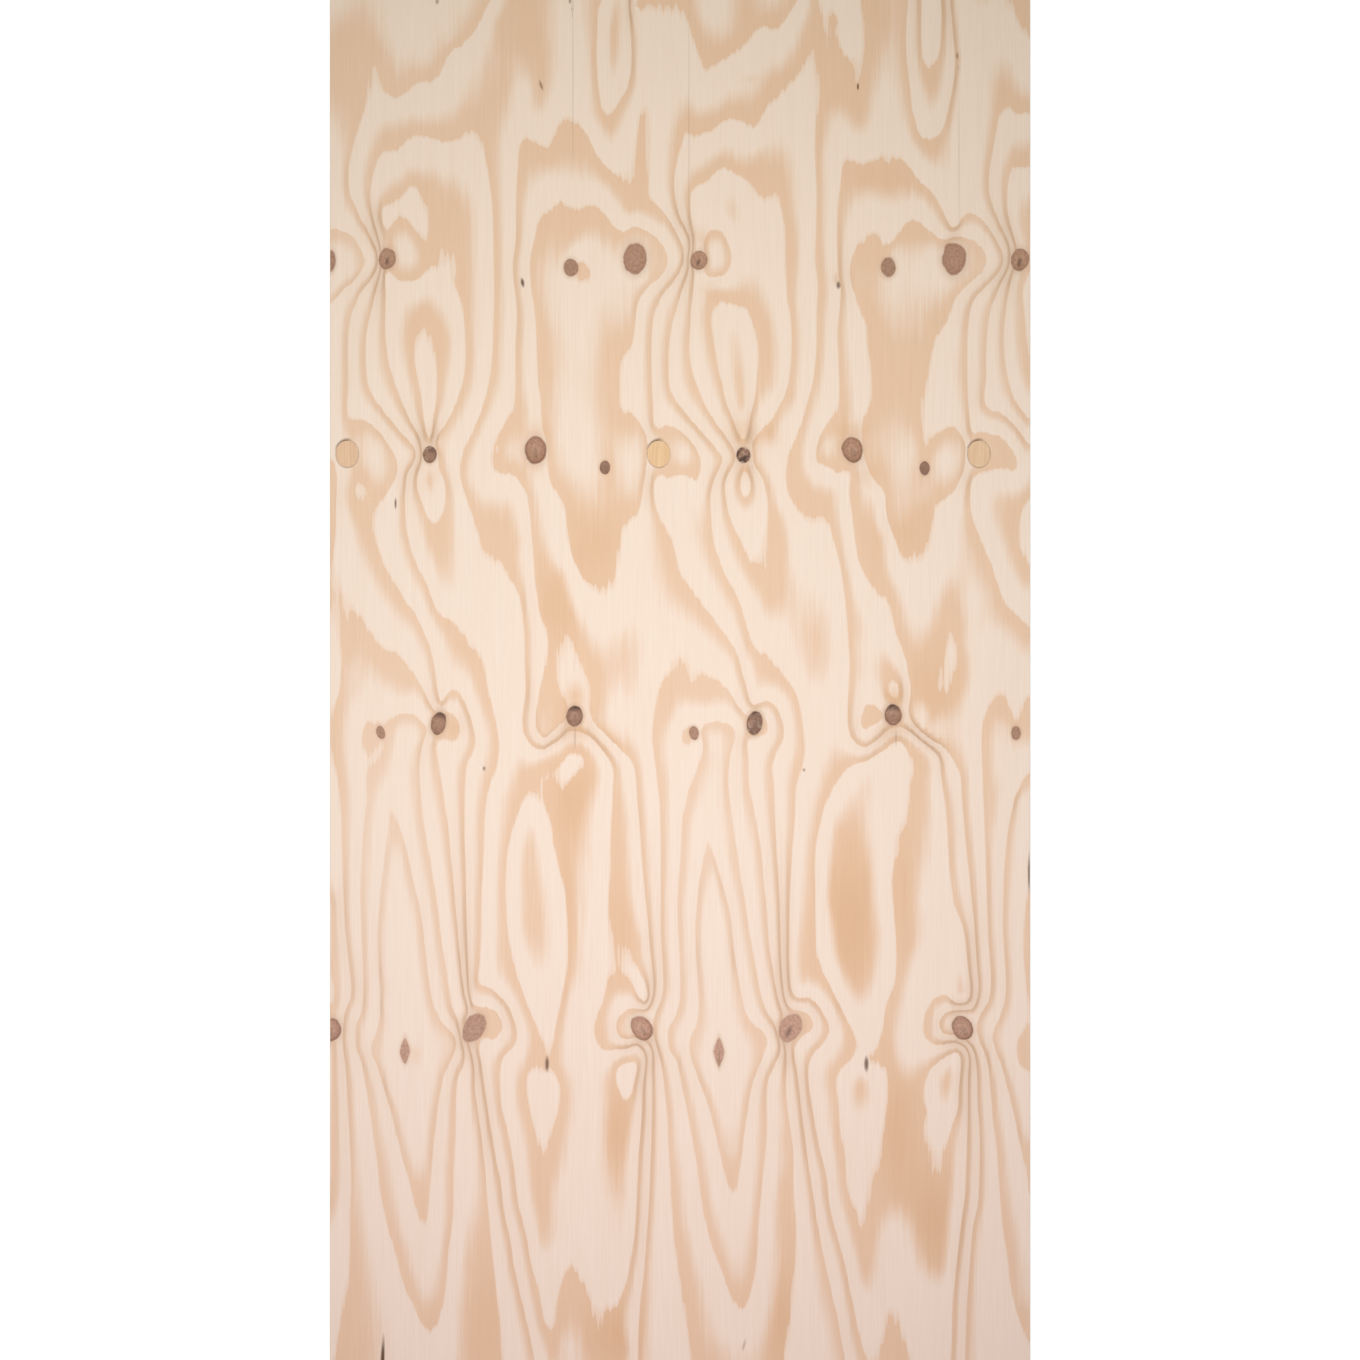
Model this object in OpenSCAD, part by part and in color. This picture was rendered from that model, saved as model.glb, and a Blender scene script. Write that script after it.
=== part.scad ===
// Plywood underlayment board: five pine veneers glued into one sheet, face up.
// The face veneer was peeled from a log, so one loose knot of that log shows up once a turn.
// Each of its holes is cut clean through the face veneer and closed with an oval plug.

/* [Board] */
// Width of the board, across the face grain
board_w = 1220; // [620:10:1525]
// Length of the board, along the face grain
board_l = 2440; // [1220:10:3050]
// Number of veneers glued together
ply_count = 5; // [3:2:9]
// Thickness of each veneer
veneer_t = 2.4; // [1.6:0.1:3.2]
// Width of the small flat that sanding leaves along every edge of both faces
arris = 0.4; // [0.2:0.1:0.8]

/* [Knot plugs] */
// Width of a plug, across the grain
plug_w = 38; // [24:1:44]
// Length of a plug, along the grain
plug_l = 46; // [45:1:80]
// Open joint left round a plug when it shrinks
plug_gap = 0.5; // [0.2:0.1:1]
// Distance from the head end of the board to the plug centres
plug_from_head = 826; // [100:1:1100]
// Distance from the left edge of the board to the centre of the first plug
first_plug_from_left = 30; // [25:1:150]
// Distance from the right edge of the board to the centre of the last plug
last_plug_from_right = 89; // [25:1:150]
// Number of plugs in the row, one for each turn of the log
plug_count = 3; // [1:1:4]

/* [Hidden] */
board_t = ply_count * veneer_t;
// The log is one veneer thickness larger in radius with each turn further out
turn_growth = 2 * PI * veneer_t;
// Steps from plug to plug, and the growth that the later steps gain on the first one
turn_steps = plug_count - 1;
growth_sum = turn_growth * turn_steps * (turn_steps - 1) / 2;
// Girth of the log at the first turn: the row of plugs fills the room between its two ends
row_l = board_w - first_plug_from_left - last_plug_from_right;
log_girth = (row_l - growth_sum) / max(turn_steps, 1);
// Place of the plug on a given turn, measured from the left edge
function plug_place(turn) = first_plug_from_left + turn * log_girth + turn_growth * turn * (turn - 1) / 2;
turns = [0:plug_count - 1];
plug_names = [for (turn = turns) str("knot_plug_", turn + 1)];
// Cuts run this far past the face that they open
overcut = 1;
// Sides of a drawn circle
round_sides = 96;

// Upright oval with straight flanks and round ends
module oval(width, length, height) {
    end_gap = length - width;
    for (end = [-1, 1])
        translate([0, end * end_gap / 2, 0])
            cylinder(d = width, h = height, $fn = round_sides);
    translate([-width / 2, -end_gap / 2, 0])
        cube([width, end_gap, height]);
}

// Carries a plug or its hole to its place at the bottom of the face veneer
module at_plug(turn) {
    translate([plug_place(turn) - board_w / 2, board_l / 2 - plug_from_head, board_t - veneer_t])
        children();
}

// The board's section over a given span, with its four sanded corners
module section(span) {
    half = span / 2;
    polygon([
        [-half + arris, 0], [half - arris, 0], [half, arris], [half, board_t - arris],
        [half - arris, board_t], [-half + arris, board_t], [-half, board_t - arris], [-half, arris]
    ]);
}

// The glued sheet before any knot is cut out: the cross section and the long section meet
module blank() {
    intersection() {
        rotate([90, 0, 0])
            linear_extrude(height = board_l, center = true)
                section(board_w);
        rotate([90, 0, 90])
            linear_extrude(height = board_w, center = true)
                section(board_l);
    }
}

// The sheet, with a hole through its face veneer for each plug
module plywood_sheet() {
    color("navajowhite")
    difference() {
        blank();
        for (turn = turns)
            at_plug(turn)
                oval(plug_w + 2 * plug_gap, plug_l + 2 * plug_gap, veneer_t + overcut);
    }
}

// One plug, glued down on the ply under the face and sanded flush with it
module knot_plug(turn) {
    color("burlywood")
    at_plug(turn)
        oval(plug_w, plug_l, veneer_t);
}

plywood_sheet();
for (turn = turns)
    knot_plug(turn);
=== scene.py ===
import math
import bmesh
import bpy
import numpy as np
from mathutils import Matrix, Vector


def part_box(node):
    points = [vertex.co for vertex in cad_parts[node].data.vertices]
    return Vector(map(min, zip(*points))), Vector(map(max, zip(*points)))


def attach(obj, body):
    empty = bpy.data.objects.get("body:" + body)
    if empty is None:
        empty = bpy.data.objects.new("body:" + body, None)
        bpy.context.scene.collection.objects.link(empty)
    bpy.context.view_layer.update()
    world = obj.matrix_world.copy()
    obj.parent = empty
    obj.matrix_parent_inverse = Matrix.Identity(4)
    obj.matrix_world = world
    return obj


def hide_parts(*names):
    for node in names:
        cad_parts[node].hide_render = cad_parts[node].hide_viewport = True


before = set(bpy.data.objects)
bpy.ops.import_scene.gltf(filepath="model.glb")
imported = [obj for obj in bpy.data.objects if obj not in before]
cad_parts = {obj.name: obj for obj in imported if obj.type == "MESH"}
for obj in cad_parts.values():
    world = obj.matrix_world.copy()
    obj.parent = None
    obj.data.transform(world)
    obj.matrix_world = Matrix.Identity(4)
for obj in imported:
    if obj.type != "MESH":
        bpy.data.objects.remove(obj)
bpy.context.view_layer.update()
mm = 0.001
sheetLow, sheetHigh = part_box("plywood_sheet")
faceZ = sheetHigh.z

# The photograph's 1360 px frame: the board's two long edges and the point under the camera
photo = {"leftEdge": 330, "rightEdge": 1030, "centreX": 680, "centreY": 680, "size": 1360}
pixel = (sheetHigh.x - sheetLow.x) / (photo["rightEdge"] - photo["leftEdge"])


def onBoard(x, y):
    return (x - photo["centreX"]) * pixel, (photo["centreY"] - y) * pixel


# Growth ring edges traced on the photograph, in its pixels: name, ring number, closed or not, points
ringLines = {
    "flameOne": (-2, True, [
        (391, 812), (402, 835), (415, 890), (420, 910), (432, 1000), (437, 1014), (444, 1025), (452, 1032),
        (456, 1040), (455, 1050), (443, 1078), (436, 1120), (423, 1222), (406, 1170), (389, 1104),
        (377, 1066), (372, 1055), (371, 1046), (380, 1020), (378, 930), (389, 827)]),
    "flameTwo": (-2, True, [
        (709, 842), (712, 852), (729, 910), (736, 965), (748, 1018), (756, 1027), (765, 1033), (767, 1042),
        (752, 1086), (738, 1180), (735, 1191), (731, 1189), (709, 1107), (689, 1048), (691, 1037),
        (697, 1024), (699, 1008), (696, 915)]),
    "flameThreeUpper": (-2, False, [(1031, 885), (1027, 900), (1024, 945), (1028, 1000), (1031, 1012)]),
    "flameThreeLower": (-2, False, [(1031, 1022), (1018, 1041), (1016, 1051), (1023, 1068), (1031, 1072)]),
    "mantleOne": (-1, True, [
        (430, 1330), (422, 1323), (415, 1308), (402, 1276), (397, 1255), (391, 1237), (381, 1193),
        (378, 1165), (361, 1061), (356, 1048), (356, 1036), (356, 1024), (362, 1012), (361, 895),
        (364, 825), (367, 800), (366, 782), (369, 769), (378, 760), (384, 750), (386, 741), (376, 749),
        (369, 752), (363, 746), (365, 727), (371, 723), (378, 724), (386, 727), (390, 719), (408, 714),
        (425, 725), (427, 732), (423, 743), (420, 757), (421, 802), (436, 897), (442, 945), (449, 990),
        (452, 1009), (457, 1019), (462, 1042), (465, 1052), (463, 1066), (458, 1077), (455, 1140),
        (453, 1180), (453, 1212), (449, 1245), (443, 1303), (437, 1323)]),
    "mantleTwo": (-1, True, [
        (741, 1308), (718, 1261), (704, 1213), (696, 1157), (681, 1080), (677, 1062), (670, 1050),
        (668, 1037), (670, 1027), (676, 1015), (680, 1000), (678, 905), (680, 870), (684, 812), (690, 788),
        (702, 756), (703, 742), (702, 732), (706, 724), (725, 723), (733, 728), (736, 735), (732, 748),
        (729, 763), (728, 785), (742, 885), (764, 1005), (776, 1028), (780, 1043), (779, 1055), (768, 1080),
        (766, 1140), (758, 1228), (757, 1252), (749, 1297)]),
    "mantleThree": (-1, False, [
        (1031, 770), (1024, 778), (1013, 808), (1006, 850), (1003, 915), (1005, 1000), (992, 1039),
        (996, 1051), (1002, 1067), (1018, 1131), (1031, 1196)]),
    "knotFleckOne": (-1, True, [(579, 261), (590, 271), (589, 278), (583, 281), (577, 276)]),
    "knotFleckTwo": (-1, True, [(690, 727), (684, 729), (682, 736), (684, 743), (690, 742)]),
    "bottleOne": (0, True, [
        (560, 202), (553, 208), (539, 220), (536, 232), (530, 265), (535, 315), (538, 380), (540, 400),
        (541, 418), (547, 445), (548, 470), (552, 485), (560, 495), (565, 510), (572, 555), (580, 571),
        (585, 581), (593, 583), (600, 591), (606, 585), (612, 582), (614, 570), (618, 552), (620, 534),
        (626, 522), (636, 514), (641, 505), (643, 485), (646, 468), (647, 452), (648, 440), (643, 429),
        (638, 419), (632, 414), (624, 413), (619, 405), (620, 385), (621, 362), (626, 352), (632, 344),
        (637, 305), (643, 292), (663, 274), (667, 262), (665, 250), (658, 239), (633, 226), (627, 231),
        (619, 231), (597, 207), (590, 206), (580, 210), (571, 208)]),
    "bottleTwo": (0, True, [
        (875, 232), (870, 237), (855, 250), (850, 275), (857, 300), (861, 314), (866, 323), (867, 340),
        (870, 362), (871, 385), (871, 402), (862, 425), (869, 472), (877, 484), (884, 492), (886, 510),
        (890, 528), (897, 544), (904, 562), (909, 556), (919, 556), (926, 549), (933, 518), (936, 503),
        (945, 499), (961, 478), (964, 441), (953, 428), (930, 440), (926, 449), (922, 403), (928, 375),
        (934, 341), (949, 317), (953, 303), (961, 291), (982, 272), (986, 262), (984, 251), (977, 243),
        (955, 236), (943, 240), (919, 223), (912, 221), (905, 225), (899, 234), (886, 247)]),
    "flankOne": (0, False, [
        (334, 1364), (345, 1300), (350, 1277), (350, 1220), (351, 1180), (346, 1072), (343, 1038),
        (346, 1009), (351, 996), (345, 925), (339, 785), (332, 748), (333, 713), (338, 698), (341, 680),
        (342, 601), (346, 607), (352, 614), (359, 616), (377, 643), (386, 650), (397, 654), (422, 687),
        (435, 711), (453, 714), (460, 730), (457, 738), (452, 741), (446, 738), (436, 742), (437, 757),
        (446, 812), (464, 990), (468, 1009), (465, 1026), (474, 1065), (475, 1090), (483, 1150),
        (493, 1265), (497, 1295), (502, 1364)]),
    "flankTwo": (0, False, [
        (693, 1364), (691, 1342), (683, 1300), (672, 1212), (671, 1180), (668, 1140), (667, 1110),
        (661, 1062), (654, 1036), (654, 1020), (663, 992), (661, 930), (661, 830), (659, 792), (653, 738),
        (658, 698), (661, 684), (667, 677), (673, 674), (680, 659), (688, 677), (691, 685), (699, 674),
        (724, 686), (746, 715), (763, 717), (768, 729), (764, 734), (748, 738), (748, 760), (749, 785),
        (759, 838), (766, 905), (769, 945), (779, 1003), (783, 1015), (781, 1030), (786, 1050), (786, 1090),
        (793, 1155), (794, 1195), (796, 1232), (792, 1285), (790, 1315), (781, 1364)]),
    "flankThree": (0, False, [
        (1031, 1343), (1024, 1331), (1011, 1285), (1008, 1257), (1003, 1225), (997, 1150), (993, 1115),
        (990, 1080), (985, 1053), (979, 1040), (978, 1022), (990, 995), (988, 935), (987, 890), (983, 728),
        (987, 712), (998, 695), (1004, 697), (1017, 722), (1025, 704), (1031, 697)]),
    "edgeKnotArch": (0, False, [
        (327, 229), (338, 230), (354, 239), (364, 262), (361, 272), (343, 290), (328, 306)]),
    "edgeStrip": (0, False, [(334, 463), (337, 478), (336, 500), (334, 548), (328, 556)]),
    "headOne": (1, False, [
        (494, -4), (486, 8), (475, 30), (458, 47), (450, 50), (442, 70), (430, 82), (423, 80), (407, 91),
        (399, 98), (391, 96), (384, 89), (375, 66), (368, 93), (357, 133), (351, 154), (349, 190),
        (377, 251), (378, 262), (375, 273), (359, 296), (349, 326), (348, 385), (348, 414), (352, 422),
        (359, 420), (368, 422), (386, 441), (397, 467), (394, 480), (386, 495), (377, 506), (373, 520),
        (375, 540), (392, 580), (415, 615), (431, 652), (441, 703), (446, 695), (453, 690), (460, 694),
        (475, 738), (473, 752), (467, 762), (464, 825), (465, 860), (469, 985), (472, 1003), (492, 1009),
        (499, 1016), (502, 1026), (499, 1035), (492, 1039), (485, 1037), (479, 1048), (481, 1063),
        (494, 1150), (500, 1180), (504, 1213), (510, 1240), (515, 1272), (529, 1333), (535, 1364)]),
    "headTwo": (1, False, [
        (632, 6), (644, 7), (656, 6), (670, 8), (680, 7), (702, 62), (707, 68), (722, 60), (746, 43),
        (757, 28), (764, 26), (777, 28), (800, -5)]),
    "headThree": (1, False, [(1007, -5), (1013, 6), (1023, 28), (1031, 38)]),
    "hookFleckLeft": (1, True, [
        (861, 727), (864, 729), (870, 725), (880, 722), (883, 716), (880, 710), (869, 705), (864, 709)]),
    "plugFleckOne": (1, True, [(355, 487), (361, 484), (369, 492), (364, 495), (357, 494)]),
    "leftEdgeUpper": (1, False, [(331, 900), (332, 970), (334, 990), (333, 1005)]),
    "leftEdgeLower": (1, False, [(332, 1048), (332, 1160), (330, 1200)]),
    "middleOne": (1, False, [
        (638, 1364), (639, 1325), (646, 1248), (651, 1160), (652, 1070), (650, 1046), (634, 1038),
        (626, 1040), (619, 1036), (616, 1027), (619, 1017), (628, 1010), (648, 1006), (653, 992),
        (649, 935), (643, 870), (638, 805), (633, 764), (624, 753), (603, 732), (594, 723), (590, 712),
        (591, 695), (587, 676), (580, 661), (571, 640), (567, 632), (558, 656), (558, 686), (567, 706),
        (565, 721), (558, 727), (545, 738), (539, 734), (536, 724), (539, 692), (548, 658), (548, 638),
        (538, 603), (529, 505), (525, 489), (510, 473), (502, 473), (495, 468), (492, 458), (494, 446),
        (507, 420), (514, 408), (516, 350), (517, 310), (513, 268), (516, 240), (516, 205), (520, 150),
        (522, 142), (528, 139), (541, 147), (549, 146), (558, 128), (561, 121), (570, 122), (578, 124),
        (586, 133), (600, 160), (632, 182), (635, 165), (642, 111), (646, 130), (648, 180), (649, 197),
        (667, 217), (684, 256), (674, 281), (664, 292), (653, 320), (653, 410), (655, 428), (662, 427),
        (672, 427), (690, 440), (701, 464), (696, 481), (690, 476), (680, 474), (670, 477), (660, 475),
        (655, 478), (653, 492), (657, 512), (672, 543), (681, 576), (688, 586), (718, 626), (735, 650),
        (746, 687), (752, 705), (758, 705), (764, 701), (771, 703), (778, 711), (783, 725), (783, 740),
        (773, 759), (773, 785), (779, 895), (783, 985), (788, 1006), (808, 1014), (812, 1020), (813, 1027),
        (809, 1033), (803, 1034), (794, 1050), (797, 1072), (805, 1140), (822, 1250), (836, 1312),
        (846, 1364)]),
    "middleTwo": (1, False, [
        (965, 1364), (968, 1290), (974, 1222), (978, 1203), (980, 1140), (978, 1105), (973, 1050),
        (955, 1035), (946, 1035), (940, 1029), (940, 1021), (946, 1013), (963, 1008), (972, 1009),
        (978, 995), (977, 965), (973, 910), (967, 855), (962, 795), (959, 770), (943, 747), (932, 741),
        (914, 725), (909, 713), (911, 692), (909, 678), (906, 660), (896, 633), (890, 605), (886, 598),
        (878, 593), (863, 570), (857, 553), (852, 510), (849, 490), (850, 481), (854, 475), (843, 470),
        (838, 474), (832, 469), (825, 465), (818, 464), (818, 443), (832, 417), (838, 407), (838, 330),
        (841, 290), (839, 278), (839, 195), (847, 158), (852, 161), (861, 164), (870, 162), (878, 158),
        (885, 163), (895, 159), (904, 161), (919, 181), (935, 197), (947, 220), (953, 230), (965, 215),
        (972, 214), (980, 218), (994, 236), (1003, 258), (1000, 270), (975, 298), (970, 309), (967, 350),
        (970, 425), (972, 434), (980, 432), (1000, 437), (1008, 444), (1017, 462), (1015, 469), (996, 468),
        (986, 472), (976, 474), (971, 483), (972, 517), (983, 545), (998, 585), (1004, 602), (1021, 620),
        (1031, 631)]),
    "fleckTwo": (1, True, [
        (951, 632), (947, 642), (946, 653), (942, 664), (941, 690), (947, 691), (951, 682), (957, 660)]),
    "shoulderOne": (2, True, [
        (554, 1326), (548, 1328), (544, 1322), (541, 1305), (530, 1258), (525, 1232), (519, 1207),
        (511, 1150), (506, 1125), (501, 1103), (502, 1059), (514, 1046), (517, 1034), (508, 1007),
        (492, 990), (484, 986), (478, 984), (479, 970), (481, 940), (481, 900), (483, 860), (487, 795),
        (497, 763), (499, 745), (486, 683), (479, 655), (471, 649), (451, 620), (443, 617), (438, 613),
        (427, 585), (419, 570), (407, 533), (407, 475), (413, 463), (416, 452), (397, 428), (375, 400),
        (368, 385), (366, 340), (378, 283), (381, 270), (380, 246), (371, 208), (370, 190), (379, 156),
        (387, 151), (398, 148), (412, 136), (435, 138), (444, 142), (459, 138), (467, 131), (474, 130),
        (479, 135), (488, 168), (493, 220), (492, 360), (484, 404), (461, 460), (460, 475), (465, 492),
        (478, 532), (484, 551), (505, 567), (510, 578), (518, 590), (524, 630), (525, 665), (526, 690),
        (523, 727), (528, 741), (536, 748), (543, 749), (552, 744), (561, 739), (568, 731), (583, 733),
        (592, 738), (613, 767), (613, 790), (613, 808), (611, 835), (611, 865), (609, 912), (616, 958),
        (615, 972), (609, 980), (605, 996), (595, 1028), (597, 1041), (604, 1050), (615, 1049), (628, 1048),
        (637, 1045), (645, 1056), (643, 1085), (642, 1120), (639, 1155), (633, 1248), (618, 1304),
        (601, 1316), (598, 1331), (586, 1290), (579, 1278), (570, 1267), (557, 1306)]),
    "patchOne": (2, True, [
        (622, 951), (618, 956), (618, 967), (622, 973), (628, 977), (639, 998), (645, 1004), (648, 998),
        (646, 986), (635, 962), (630, 953), (625, 955)]),
    "loopOne": (2, False, [
        (629, -4), (629, 82), (609, 116), (606, 116), (601, 104), (596, 55), (597, 30), (598, 12),
        (603, -4)]),
    "loopTwo": (2, False, [
        (950, -4), (955, 70), (952, 92), (940, 134), (925, 140), (919, 135), (906, 50), (908, -4)]),
    "headIslandTwo": (2, False, [
        (817, -4), (820, 15), (824, 30), (828, 46), (831, 36), (831, 20), (834, 13), (838, 18), (838, 32),
        (841, 48), (847, 57), (852, 62), (858, 78), (864, 52), (861, -4)]),
    "shoulderTwo": (2, False, [
        (868, 1364), (861, 1343), (843, 1257), (835, 1230), (829, 1202), (826, 1175), (819, 1147),
        (808, 1070), (812, 1056), (827, 1038), (829, 1027), (817, 1005), (808, 998), (799, 999), (793, 995),
        (789, 915), (795, 810), (797, 783), (804, 755), (795, 692), (786, 680), (777, 668), (760, 652),
        (753, 648), (749, 635), (740, 605), (733, 589), (725, 575), (713, 540), (711, 515), (711, 490),
        (722, 457), (716, 449), (676, 401), (670, 388), (669, 345), (672, 325), (683, 287), (688, 272),
        (690, 240), (678, 212), (674, 180), (687, 132), (695, 135), (712, 130), (726, 119), (736, 120),
        (744, 120), (754, 128), (765, 109), (772, 100), (779, 96), (785, 86), (793, 80), (806, 60),
        (811, 53), (816, 61), (818, 75), (820, 90), (815, 140), (817, 195), (816, 265), (818, 285),
        (817, 310), (815, 370), (797, 436), (791, 450), (786, 482), (798, 510), (808, 517), (820, 517),
        (828, 522), (833, 537), (843, 580), (850, 658), (850, 733), (863, 747), (880, 737), (887, 730),
        (903, 728), (922, 741), (939, 757), (941, 775), (945, 798), (952, 890), (957, 910), (963, 926),
        (968, 965), (969, 1000), (962, 1005), (955, 1004), (949, 998), (941, 996), (933, 1000), (923, 1025),
        (925, 1037), (931, 1043), (943, 1044), (955, 1043), (967, 1050), (968, 1085), (965, 1198),
        (961, 1228), (954, 1295), (951, 1364)]),
    "footPeakTwo": (2, False, [
        (877, 1364), (886, 1330), (890, 1313), (897, 1323), (902, 1340), (908, 1352), (911, 1364)]),
    "hookFleckTwo": (2, True, [(893, 679), (888, 692), (892, 698), (898, 697), (900, 691)]),
    "shoulderThreeUpper": (2, False, [
        (1031, 113), (1015, 112), (1009, 105), (999, 116), (996, 132), (989, 192), (1011, 248)]),
    "shoulderThreeMiddle": (2, False, [
        (1009, 268), (1001, 283), (990, 313), (986, 352), (986, 376), (985, 404), (990, 410), (999, 413),
        (1007, 418), (1031, 447)]),
    "shoulderThreeLower": (2, False, [(1031, 494), (1023, 508), (1019, 524), (1020, 545), (1031, 570)]),
    "crescentOne": (3, True, [
        (414, 184), (401, 196), (392, 203), (383, 206), (383, 227), (388, 232), (391, 225), (397, 219),
        (404, 218), (424, 240), (429, 236), (430, 225)]),
    "innerOne": (3, True, [
        (391, 274), (397, 279), (416, 280), (430, 267), (438, 264), (441, 256), (446, 250), (456, 263),
        (457, 272), (454, 284), (458, 292), (462, 307), (466, 355), (463, 383), (449, 419), (435, 441),
        (439, 455), (439, 468), (443, 477), (446, 490), (441, 519), (434, 523), (428, 518), (422, 503),
        (417, 488), (417, 474), (421, 464), (420, 439), (410, 421), (388, 360), (385, 290), (385, 273)]),
    "innerTwo": (3, True, [
        (694, 243), (692, 228), (691, 193), (697, 185), (705, 183), (720, 168), (726, 168), (733, 173),
        (744, 177), (751, 184), (758, 194), (766, 198), (776, 193), (783, 215), (786, 275), (788, 300),
        (791, 325), (789, 380), (774, 416), (753, 441), (753, 455), (754, 466), (760, 474), (766, 488),
        (768, 530), (765, 548), (760, 565), (752, 563), (744, 549), (729, 515), (725, 482), (730, 470),
        (735, 462), (734, 450), (727, 439), (703, 401), (690, 360), (691, 310), (694, 272), (690, 258)]),
    "spotTwo": (3, True, [
        (704, 241), (709, 233), (716, 230), (722, 233), (731, 255), (729, 268), (723, 275), (706, 275),
        (705, 258)]),
    "islandOne": (3, True, [
        (537, 787), (531, 793), (524, 799), (510, 838), (506, 865), (507, 925), (515, 970), (542, 1042),
        (547, 1056), (551, 1050), (559, 1012), (567, 965), (567, 908), (564, 885), (554, 845), (551, 823),
        (541, 795)]),
    "islandFootOne": (3, True, [
        (541, 1067), (556, 1075), (560, 1082), (558, 1113), (553, 1129), (544, 1153), (527, 1098),
        (529, 1072)]),
    "notchOne": (3, True, [
        (572, 752), (578, 754), (584, 756), (584, 765), (571, 777), (566, 786), (560, 786), (557, 777),
        (559, 766)]),
    "pocketOne": (3, True, [(617, 1069), (622, 1097), (629, 1099), (636, 1075), (637, 1065), (630, 1062)]),
    "islandTwo": (3, True, [
        (894, 742), (887, 748), (878, 753), (868, 760), (857, 763), (848, 768), (840, 778), (833, 787),
        (822, 815), (815, 855), (815, 890), (817, 950), (822, 970), (831, 988), (850, 1027), (856, 1039),
        (856, 1051), (837, 1075), (838, 1100), (840, 1130), (845, 1160), (847, 1187), (851, 1203),
        (857, 1217), (862, 1230), (870, 1199), (873, 1181), (879, 1168), (888, 1079), (884, 1067),
        (876, 1063), (870, 1061), (875, 1050), (881, 1036), (888, 1000), (894, 987), (897, 965), (894, 905),
        (892, 875), (895, 865), (898, 850), (899, 835), (902, 832), (908, 810), (910, 785), (913, 765),
        (900, 741)]),
    "pocketTwo": (3, True, [
        (958, 1052), (930, 1070), (923, 1097), (926, 1112), (923, 1128), (931, 1156), (934, 1168),
        (941, 1169), (944, 1155), (953, 1123), (958, 1110), (959, 1088), (961, 1065)]),
    "loopCoreTwo": (3, False, [
        (941, -4), (942, 20), (938, 58), (933, 65), (926, 66), (922, 55), (921, -4)]),
    "innerThreeUpper": (3, False, [(1031, 167), (1019, 167), (1012, 168), (1007, 208), (1015, 243)]),
    "innerThreeLower": (3, False, [
        (1013, 272), (1009, 290), (1004, 330), (1006, 370), (1014, 398), (1025, 415), (1031, 421)]),
    "heartOne": (4, True, [
        (423, 330), (417, 335), (414, 362), (418, 378), (428, 438), (431, 438), (433, 420), (436, 400),
        (436, 360), (429, 334)]),
    "heartTwo": (4, True, [
        (722, 302), (714, 307), (711, 316), (726, 402), (734, 422), (742, 440), (746, 438), (750, 418),
        (755, 398), (758, 352), (750, 315), (743, 307), (733, 304)]),
    "beadTwo": (4, True, [(745, 470), (741, 476), (742, 494), (746, 497), (750, 492), (749, 474)]),
    "heartThree": (4, False, [(1022, 293), (1028, 350), (1032, 366)]),
}
# Soft spots between the ring edges, where the tone fades without an edge: photo x, y and ring height

# Soft spots between the ring edges, where the tone fades without an edge: photo x, y and ring height

# Soft spots between the ring edges, where the tone fades without an edge: photo x, y and ring height

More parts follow.
